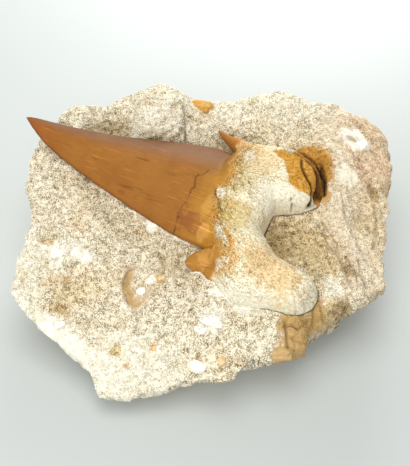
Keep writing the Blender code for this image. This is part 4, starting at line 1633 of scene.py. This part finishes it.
    def bare_at(self, x: float, y: float, ragged: float) -> float:
        """Tell how much loose sand is missing at a place from the survey mark.

        Args:
            x, y: the point.
            ragged: how far the edges waver there.

        Returns:
            A share of 0 to 1.
        """
        bare = 0.0
        for patch in self.patches:
            if patch.bare:
                bare = max(bare, patch.bare * patch.cover(x, y, ragged))
        return bare

    def relief(self, place: Vector, normal: Vector) -> float:
        """Give the height in mm that a point of the skin stands out (or, below 0, in).

        Args:
            place: the point in the part's frame, in mm.
            normal: which way the skin faces there.

        Returns:
            The height.
        """
        x, y, _ = place + Vector(SURVEY_SHIFT)
        rough = 1.0 - 0.75 * (self.bare_at(x, y, 0.0) if normal.z > 0.2 else 0.0)
        knob = 0.5 - noise.voronoi(place / self.knob_spacing)[0][0]
        height = rough * (self.lumps.at(place) + self.knob_height * knob)
        height += self.swells.at(place)
        height -= self.pit_depth * rough * fade(self.pits.at(place), *self.pit_edge)
        if normal.z <= 0.0:
            return height
        scraped = fade(x, *self.scraped_x) * fade(y, *self.scraped_y)
        if scraped:
            height += self.scrapes.at(Vector((0.22 * x + 0.1 * y, y - 0.12 * x, 0.0)), scraped)
        combed = fade(x, *self.combed_x) * fade(y, *self.combed_y)
        if combed:
            height += self.combing.at(self.comb_place(x, y, 0.0), combed)
        for crack in self.cracks:
            height -= crack.depth * crack.closeness(x, y)
        return height

    @staticmethod
    def comb_place(x: float, y: float, layer: float) -> Vector:
        """Give the place in the pattern of slanting ridges, long from front to back."""
        return Vector((x + 0.45 * y, 0.22 * y, layer))

    def sink_pocket(self, skin: bmesh.types.BMesh, tooth: BVHTree) -> None:
        """Lower the rock under the tooth to the tooth's under face.

        Args:
            skin: the block.
            tooth: the finished tooth's skin, in metres.
        """
        for vertex in skin.verts:
            if vertex.co.z < 12.0:
                continue
            start = Vector((vertex.co.x * MM, vertex.co.y * MM, 0.0))
            hit = tooth.ray_cast(start, Vector((0.0, 0.0, 1.0)))[0]
            if hit is not None and hit.z / MM - self.pocket_gap < vertex.co.z:
                vertex.co.z = hit.z / MM - self.pocket_gap

    def colour_with_painted_seam_shade(self, place: Vector, tooth: BVHTree) -> tuple[Colour, float]:
        """Give the pigment and bareness at a point, with the tooth's seam drawn in.

        The seam is a painted dark shadow line beside the root and a painted pale band of light
        beside the crown, where the sand is left bare.

        Args:
            place: the point in the part's frame, in mm.
            tooth: the finished tooth's skin, in metres.

        Returns:
            The colour, and the bareness of 0 to 1.
        """
        colour, bare = self.colour(place)
        gap = tooth.find_nearest(place * MM, self.seam_reach * MM)[3]
        if gap is None:
            return colour, bare
        if place.x > self.root_from:
            # Painted shadow: a dark line on the rock beside the root.
            return blend(colour, Pigment.CRACK.rgb, 0.75 * fade(gap / MM, 0.40, 0.12)), bare
        # Painted light: a pale band on the rock beside the crown, which is also left bare of sand.
        painted_light_band = fade(gap / MM, self.seam_reach, 0.3)
        return blend(colour, Pigment.PALE_SAND.rgb, 0.8 * painted_light_band), max(bare, painted_light_band)

    def colour(self, place: Vector) -> tuple[Colour, float]:
        """Give the pigment at a point and how bare of sand it is.

        Args:
            place: the point in the part's frame, in mm.

        Returns:
            The colour, and the bareness of 0 to 1.
        """
        x, y, _ = place + Vector(SURVEY_SHIFT)
        ragged = self.colour_rag.at(place) + self.colour_grain.at(place)
        mixed = blend(Pigment.SAND.rgb, Pigment.WARM_SAND.rgb,
                      fade(self.sand_drift.at(place), 0.0, 0.8))
        combed = fade(x, *self.hue_x) * fade(y, *self.hue_y)
        if combed:
            hue = self.comb_hue.at(self.comb_place(x, y, 5.0))
            mixed = blend(mixed, Pigment.ROSE_SAND.rgb, combed * fade(hue, -0.2, 0.3))
            mixed = blend(mixed, Pigment.DUN.rgb, 0.45 * combed * fade(hue, -0.15, -0.6))
        bare = 0.0
        if place.z < self.top_at(x, y) - self.top_depth:
            return mixed, bare
        for patch in self.patches:
            cover = patch.cover(x, y, ragged)
            if cover:
                mixed = blend(mixed, patch.pigment.rgb, cover)
                bare = max(bare * (1.0 - cover), patch.bare * cover)
        dark = max(crack.dark * crack.closeness(x, y) for crack in self.cracks)
        return blend(mixed, Pigment.CRACK.rgb, 0.8 * dark), bare


@dataclass(frozen=True)
class Scrap:
    """A pebble or a scrap of bone cemented into the block's skin, in mm."""

    pigment: Pigment
    place: Place                   # from the survey mark
    half: tuple[float, float, float]
    turn: float = 0.0              # degrees about the upright
    tilt: float = 0.0              # degrees that its length tips down
    lift: float = 0.0              # of its middle over the skin
    parts: int = 1                 # more than 1 makes a crumbling cluster


@dataclass
class Scraps:
    """The pebbles and scraps of bone that show in the block."""

    items: tuple[Scrap, ...] = (
        Scrap(Pigment.IRON, (-0.7, 35.1), (2.9, 1.4, 1.1), -14.0, 10.0, -0.2),
        Scrap(Pigment.CHALK, (-15.0, -15.6), (1.5, 1.3, 1.0), 20.0, 0.0, 0.25, 4),
        Scrap(Pigment.IVORY, (-12.3, -14.2), (1.5, 1.0, 0.9), 35.0, 0.0, 0.0),
        Scrap(Pigment.TAN, (-10.2, -14.2), (1.1, 0.8, 0.7), 10.0, 0.0, -0.25, 4),
        Scrap(Pigment.CREAM, (1.8, -30.7), (1.6, 1.5, 1.3), 0.0, 0.0, -0.1, 3),
        Scrap(Pigment.PALE_SAND, (-1.6, -31.6), (2.0, 1.5, 0.9), -20.0, 0.0, 0.0),
        Scrap(Pigment.TAN, (3.9, -31.0), (0.9, 1.3, 0.8), 0.0, 0.0, 0.0),
        Scrap(Pigment.CLAY, (17.4, -30.0), (2.4, 1.4, 1.2), 5.0, 0.0, 0.0),
        Scrap(Pigment.CHALK, (-33.8, -20.9), (1.3, 0.9, 0.7), 10.0, 0.0, 0.0),
        Scrap(Pigment.CHALK, (-34.9, -6.5), (1.5, 1.9, 1.1), 10.0, 0.0, -0.35, 8),
        Scrap(Pigment.CHALK, (-30.7, -6.0), (1.5, 1.3, 1.0), 60.0, 0.0, -0.35, 7),
        Scrap(Pigment.CHALK, (-27.7, -7.6), (1.6, 1.3, 1.0), 0.0, 0.0, -0.35, 7),
        Scrap(Pigment.CHALK, (1.6, -23.0), (2.7, 1.7, 1.1), -25.0, 0.0, -0.35, 10),
        Scrap(Pigment.CHALK, (-1.0, -25.2), (1.6, 1.3, 0.9), 0.0, 0.0, -0.35, 6),
        Scrap(Pigment.CHALK, (39.0, 24.7), (2.2, 1.5, 1.0), -45.0, 0.0, -0.3, 6),
        Scrap(Pigment.CHALK, (35.9, 27.6), (1.8, 1.0, 0.8), -20.0, 0.0, -0.2, 4),
        Scrap(Pigment.TAN, (-11.3, -27.8), (0.9, 1.2, 0.7), -20.0, 0.0, -0.3, 4),
        Scrap(Pigment.TAN, (-19.9, -27.6), (1.0, 0.8, 0.6), 0.0, 0.0, -0.35, 4),
    )
    name: str = "cemented_scraps"
    lumps: Lumps = Lumps(0.30, 0.8)    # as a share of the scrap's size
    squareness: float = 0.8        # 1 is an ellipsoid, less is boxier
    part_size: Place = (0.35, 0.6)     # of the scrap, in a crumbling cluster
    seed: int = 3

    def build(self, block: BVHTree) -> bpy.types.Object:
        """Set the scraps in the block's skin as one piece.

        Args:
            block: the finished block's skin, in metres.

        Returns:
            The finished piece.
        """
        builder, colours, draw = bmesh.new(), [], random.Random(self.seed)
        for scrap in self.items:
            place = Vector(scrap.place).to_3d() - Vector(SURVEY_SHIFT)
            start = Vector((place.x * MM, place.y * MM, 1.0))
            hit = block.ray_cast(start, Vector((0.0, 0.0, -1.0)))[0]
            middle = hit / MM + Vector((0.0, 0.0, scrap.lift))
            turn = Matrix.Rotation(math.radians(scrap.turn), 3, "Z")
            turn = turn @ Matrix.Rotation(math.radians(scrap.tilt), 3, "Y")
            for _ in range(scrap.parts):
                share = 1.0 if scrap.parts == 1 else draw.uniform(*self.part_size)
                away = Vector(draw.uniform(share - 1.0, 1.0 - share) * half for half in scrap.half)
                away.z = 0.0
                ball = bmesh.ops.create_icosphere(builder, subdivisions=4, radius=1.0)["verts"]
                for vertex in ball:
                    swell = 1.0 + self.lumps.at(vertex.co + middle + away)
                    shape = Vector(share * half * swell
                                   * math.copysign(abs(axis) ** self.squareness, axis)
                                   for half, axis in zip(scrap.half, vertex.co))
                    vertex.co = middle + turn @ (shape + away)
                    colours.append(scrap.pigment.rgb)
        bmesh.ops.scale(builder, vec=(MM, MM, MM), verts=builder.verts)
        piece = new_object(self.name, builder)
        piece.data.shade_smooth()
        paint(piece, "pigment", "FLOAT_COLOR", colours)
        piece.data.materials.append(CementedScrap().make())
        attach(piece, BODY)
        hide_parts("matrix")
        return piece


# ------------------------------------------------------------------------------ sand
NEIGHBOURS = tuple((x, y, z) for x in (-1, 0, 1) for y in (-1, 0, 1) for z in (-1, 0, 1))


def add3(first: tuple[int, int, int], second: tuple[int, int, int]) -> tuple[int, int, int]:
    """Add two triples of whole numbers."""
    return (first[0] + second[0], first[1] + second[1], first[2] + second[2])


@dataclass
class SandCover:
    """Single sand grains that stand out of the block's skin, in mm."""

    name: str
    seed: int
    wanted: Callable[[Vector, Vector], bool]
    spacing: float = 0.40
    radius: Place = (0.10, 0.27)   # of the smallest and the largest grain
    sunk: float = 0.12             # of its radius, how deep a grain's middle lies
    most: int = 9500               # grains of 20 faces each keep a piece under 200,000
    corners: int = 12              # of one grain
    batch: int = 250
    lowest: float = 0.8            # no grains nearer the table
    tooth_gap: float = 0.35
    across: Place = (0.75, 1.25)   # how a grain's three widths vary
    along: Place = (0.75, 1.15)
    upright: Place = (0.65, 1.0)

    def build(self, rock: RockBlock, block: bpy.types.Object, tooth: BVHTree,
              finish: bpy.types.Material) -> bpy.types.Object:
        """Scatter the grains and make them one piece.

        Args:
            rock: tells the pigment and bareness at a place.
            block: the finished block.
            tooth: the finished tooth's skin, in metres.
            finish: the grains' material.

        Returns:
            The finished piece.
        """
        draw = random.Random(self.seed)
        spots = self.scatter(rock, block, tooth, draw)
        cover, colours, tones = bmesh.new(), [], []
        for start in range(0, len(spots), self.batch):
            group = bmesh.new()
            for place, normal, colour in spots[start:start + self.batch]:
                self.add_grain(group, place, normal, draw)
                tone = draw.random()
                colours.extend([colour] * self.corners)
                tones.extend([tone] * self.corners)
            mesh = bpy.data.meshes.new("grain_batch")
            group.to_mesh(mesh)
            group.free()
            cover.from_mesh(mesh)
            bpy.data.meshes.remove(mesh)
        bmesh.ops.scale(cover, vec=(MM, MM, MM), verts=cover.verts)
        piece = new_object(self.name, cover)
        paint(piece, "pigment", "FLOAT_COLOR", colours)
        paint(piece, "tone", "FLOAT", tones)
        piece.data.materials.append(finish)
        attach(piece, BODY)
        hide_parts("matrix")
        return piece

    def scatter(self, rock: RockBlock, block: bpy.types.Object, tooth: BVHTree,
                draw: random.Random) -> list[tuple[Vector, Vector, Colour]]:
        """Choose the grains' places, no two closer than the spacing.

        Args:
            rock: tells the pigment and bareness at a place.
            block: the finished block.
            tooth: the finished tooth's skin, in metres.
            draw: the cover's random numbers.

        Returns:
            Each grain's place, which way it faces, and its colour.
        """
        faces = list(block.data.polygons)
        draw.shuffle(faces)
        taken: dict[tuple[int, int, int], list[Vector]] = {}
        spots = []
        for face in faces:
            place = face.center / MM
            if place.z < self.lowest or not self.wanted(place, face.normal):
                continue
            key = tuple(math.floor(value / self.spacing) for value in place)
            if any((place - other).length < self.spacing
                   for step in NEIGHBOURS for other in taken.get(add3(key, step), ())):
                continue
            if tooth.find_nearest(face.center, self.tooth_gap * MM)[0] is not None:
                continue
            colour, bare = rock.colour(place)
            if draw.random() < bare:
                continue
            taken.setdefault(key, []).append(place)
            spots.append((place, face.normal.copy(), colour))
            if len(spots) >= self.most:
                break
        return spots

    def add_grain(self, group: bmesh.types.BMesh, place: Vector, normal: Vector,
                  draw: random.Random) -> None:
        """Add one angular grain, a little flattened and half sunk.

        Args:
            group: the bmesh to add to.
            place: on the skin, in mm.
            normal: which way the skin faces there.
            draw: the cover's random numbers.
        """
        radius = draw.uniform(*self.radius)
        turn = Vector((draw.random(), draw.random(), draw.random() + 0.1)).normalized()
        matrix = Matrix.Translation(place - normal * self.sunk * radius)
        matrix = matrix @ Matrix.Rotation(draw.uniform(0.0, math.pi), 4, turn)
        stretch = [draw.uniform(*span) for span in (self.across, self.along, self.upright)]
        bmesh.ops.create_icosphere(group, subdivisions=1, radius=radius,
                                   matrix=matrix @ Matrix.Diagonal((*stretch, 1.0)))


# ------------------------------------------------------------------------------ studio
@dataclass(frozen=True)
class SoftBox:
    """A square lamp that faces its aim, in mm and watts."""

    name: str
    place: tuple[float, float, float]
    aim: tuple[float, float, float]
    side: float
    watts: float

    def hang(self) -> None:
        """Add the lamp to the scene."""
        data = bpy.data.lights.new(self.name, "AREA")
        data.size = self.side * MM
        data.energy = self.watts
        lamp = bpy.data.objects.new(self.name, data)
        lamp.location = Vector(self.place) * MM
        lamp.rotation_mode = "QUATERNION"
        lamp.rotation_quaternion = (Vector(self.aim) - Vector(self.place)).to_track_quat("-Z", "Y")
        bpy.context.scene.collection.objects.link(lamp)


@dataclass
class Studio:
    """Plain pale table, soft light and the camera, in mm."""

    table_size: float = 3000.0
    table_colour: str = "#C2C7C4"
    table_roughness: float = 0.6
    soft_boxes: tuple[SoftBox, ...] = (
        SoftBox("overhead_softbox", (-30.0, -30.0, 600.0), (0.0, 0.0, 20.0), 440.0, 1.74),
        SoftBox("front_softbox", (-90.0, -430.0, 420.0), (0.0, 0.0, 20.0), 420.0, 1.30),
        SoftBox("back_softbox", (35.0, 270.0, 115.0), (25.0, 140.0, 0.0), 130.0, 0.60),
        SoftBox("corner_softbox", (-150.0, -180.0, 110.0), (-95.0, -95.0, 0.0), 90.0, 0.14),
    )
    room_glow: float = 0.42
    target: tuple[float, float, float] = (0.0, 0.0, 22.0)   # from the survey mark
    elevation: float = 50.0        # degrees above the horizon
    focal_length: float = 85.0
    sensor: float = 36.0
    rows: int = 466                # of pixels in the picture
    row_height: float = 0.24       # mm that a row of pixels shows at the target

    def build(self) -> None:
        """Build the table, the lights and the camera."""
        self.table()
        self.lights()
        self.camera()

    def table(self) -> None:
        """Build the pale table top."""
        top = bmesh.new()
        bmesh.ops.create_grid(top, x_segments=1, y_segments=1, size=self.table_size * MM / 2)
        piece = new_object("table_top", top)
        table, _, _ = start_material("matt_white_laminate", {
            "Base Color": (*linear(self.table_colour), 1.0), "Roughness": self.table_roughness})
        piece.data.materials.append(table)

    def lights(self) -> None:
        """Hang the soft boxes and set the pale surroundings."""
        for soft_box in self.soft_boxes:
            soft_box.hang()
        world = bpy.data.worlds.new("pale_room")
        world.use_nodes = True
        background = world.node_tree.nodes["Background"]
        background.inputs["Color"].default_value = (1.0, 1.0, 1.0, 1.0)
        background.inputs["Strength"].default_value = self.room_glow
        bpy.context.scene.world = world
        bpy.context.scene.view_settings.view_transform = "Standard"

    def camera(self) -> None:
        """Place the camera in front of the block, looking down at it."""
        data = bpy.data.cameras.new("studio_camera")
        data.lens = self.focal_length
        data.sensor_width = self.sensor
        distance = self.focal_length * (self.rows * self.row_height) / self.sensor
        data.clip_start, data.clip_end = 0.01, 10.0
        camera = bpy.data.objects.new("studio_camera", data)
        rise = math.radians(self.elevation)
        away = Vector((0.0, -math.cos(rise), math.sin(rise))) * distance
        camera.location = (Vector(self.target) - Vector(SURVEY_SHIFT) + away) * MM
        camera.rotation_euler = (math.pi / 2 - rise, 0.0, 0.0)
        bpy.context.scene.collection.objects.link(camera)
        bpy.context.scene.camera = camera


def skin_tree(piece: bpy.types.Object) -> BVHTree:
    """Build a search tree of a piece's faces, in metres.

    Args:
        piece: a finished piece.

    Returns:
        The tree.
    """
    builder = bmesh.new()
    builder.from_mesh(piece.data)
    tree = BVHTree.FromBMesh(builder)
    builder.free()
    return tree


def report(piece: bpy.types.Object) -> None:
    """Log a finished piece and how many faces it has."""
    LOG.info("%s: %d faces", piece.name, len(piece.data.polygons))


def main() -> None:
    """Build the tooth, the block, its sand and the studio."""
    tooth = Tooth().build()
    report(tooth)
    skin = skin_tree(tooth)
    rock = RockBlock()
    block = rock.build(skin)
    report(block)
    report(Scraps().build(skin_tree(block)))
    finish = SandGrain().make()
    covers = (
        SandCover("sand_front_left", 11, lambda p, n: n.z > 0.2 and p.y < 1.0 and p.x < -8.0),
        SandCover("sand_front_right", 12, lambda p, n: n.z > 0.2 and p.y < 1.0 and p.x >= -8.0),
        SandCover("sand_back", 13, lambda p, n: n.z > 0.2 and p.y >= 1.0),
        SandCover("sand_sides", 14, lambda p, n: n.z <= 0.2, 0.7, (0.18, 0.36), 0.5),
    )
    for cover in covers:
        report(cover.build(rock, block, skin, finish))
    Studio().build()


if __name__ == "__main__":
    logging.basicConfig(level=logging.INFO, format="%(message)s")
    main()
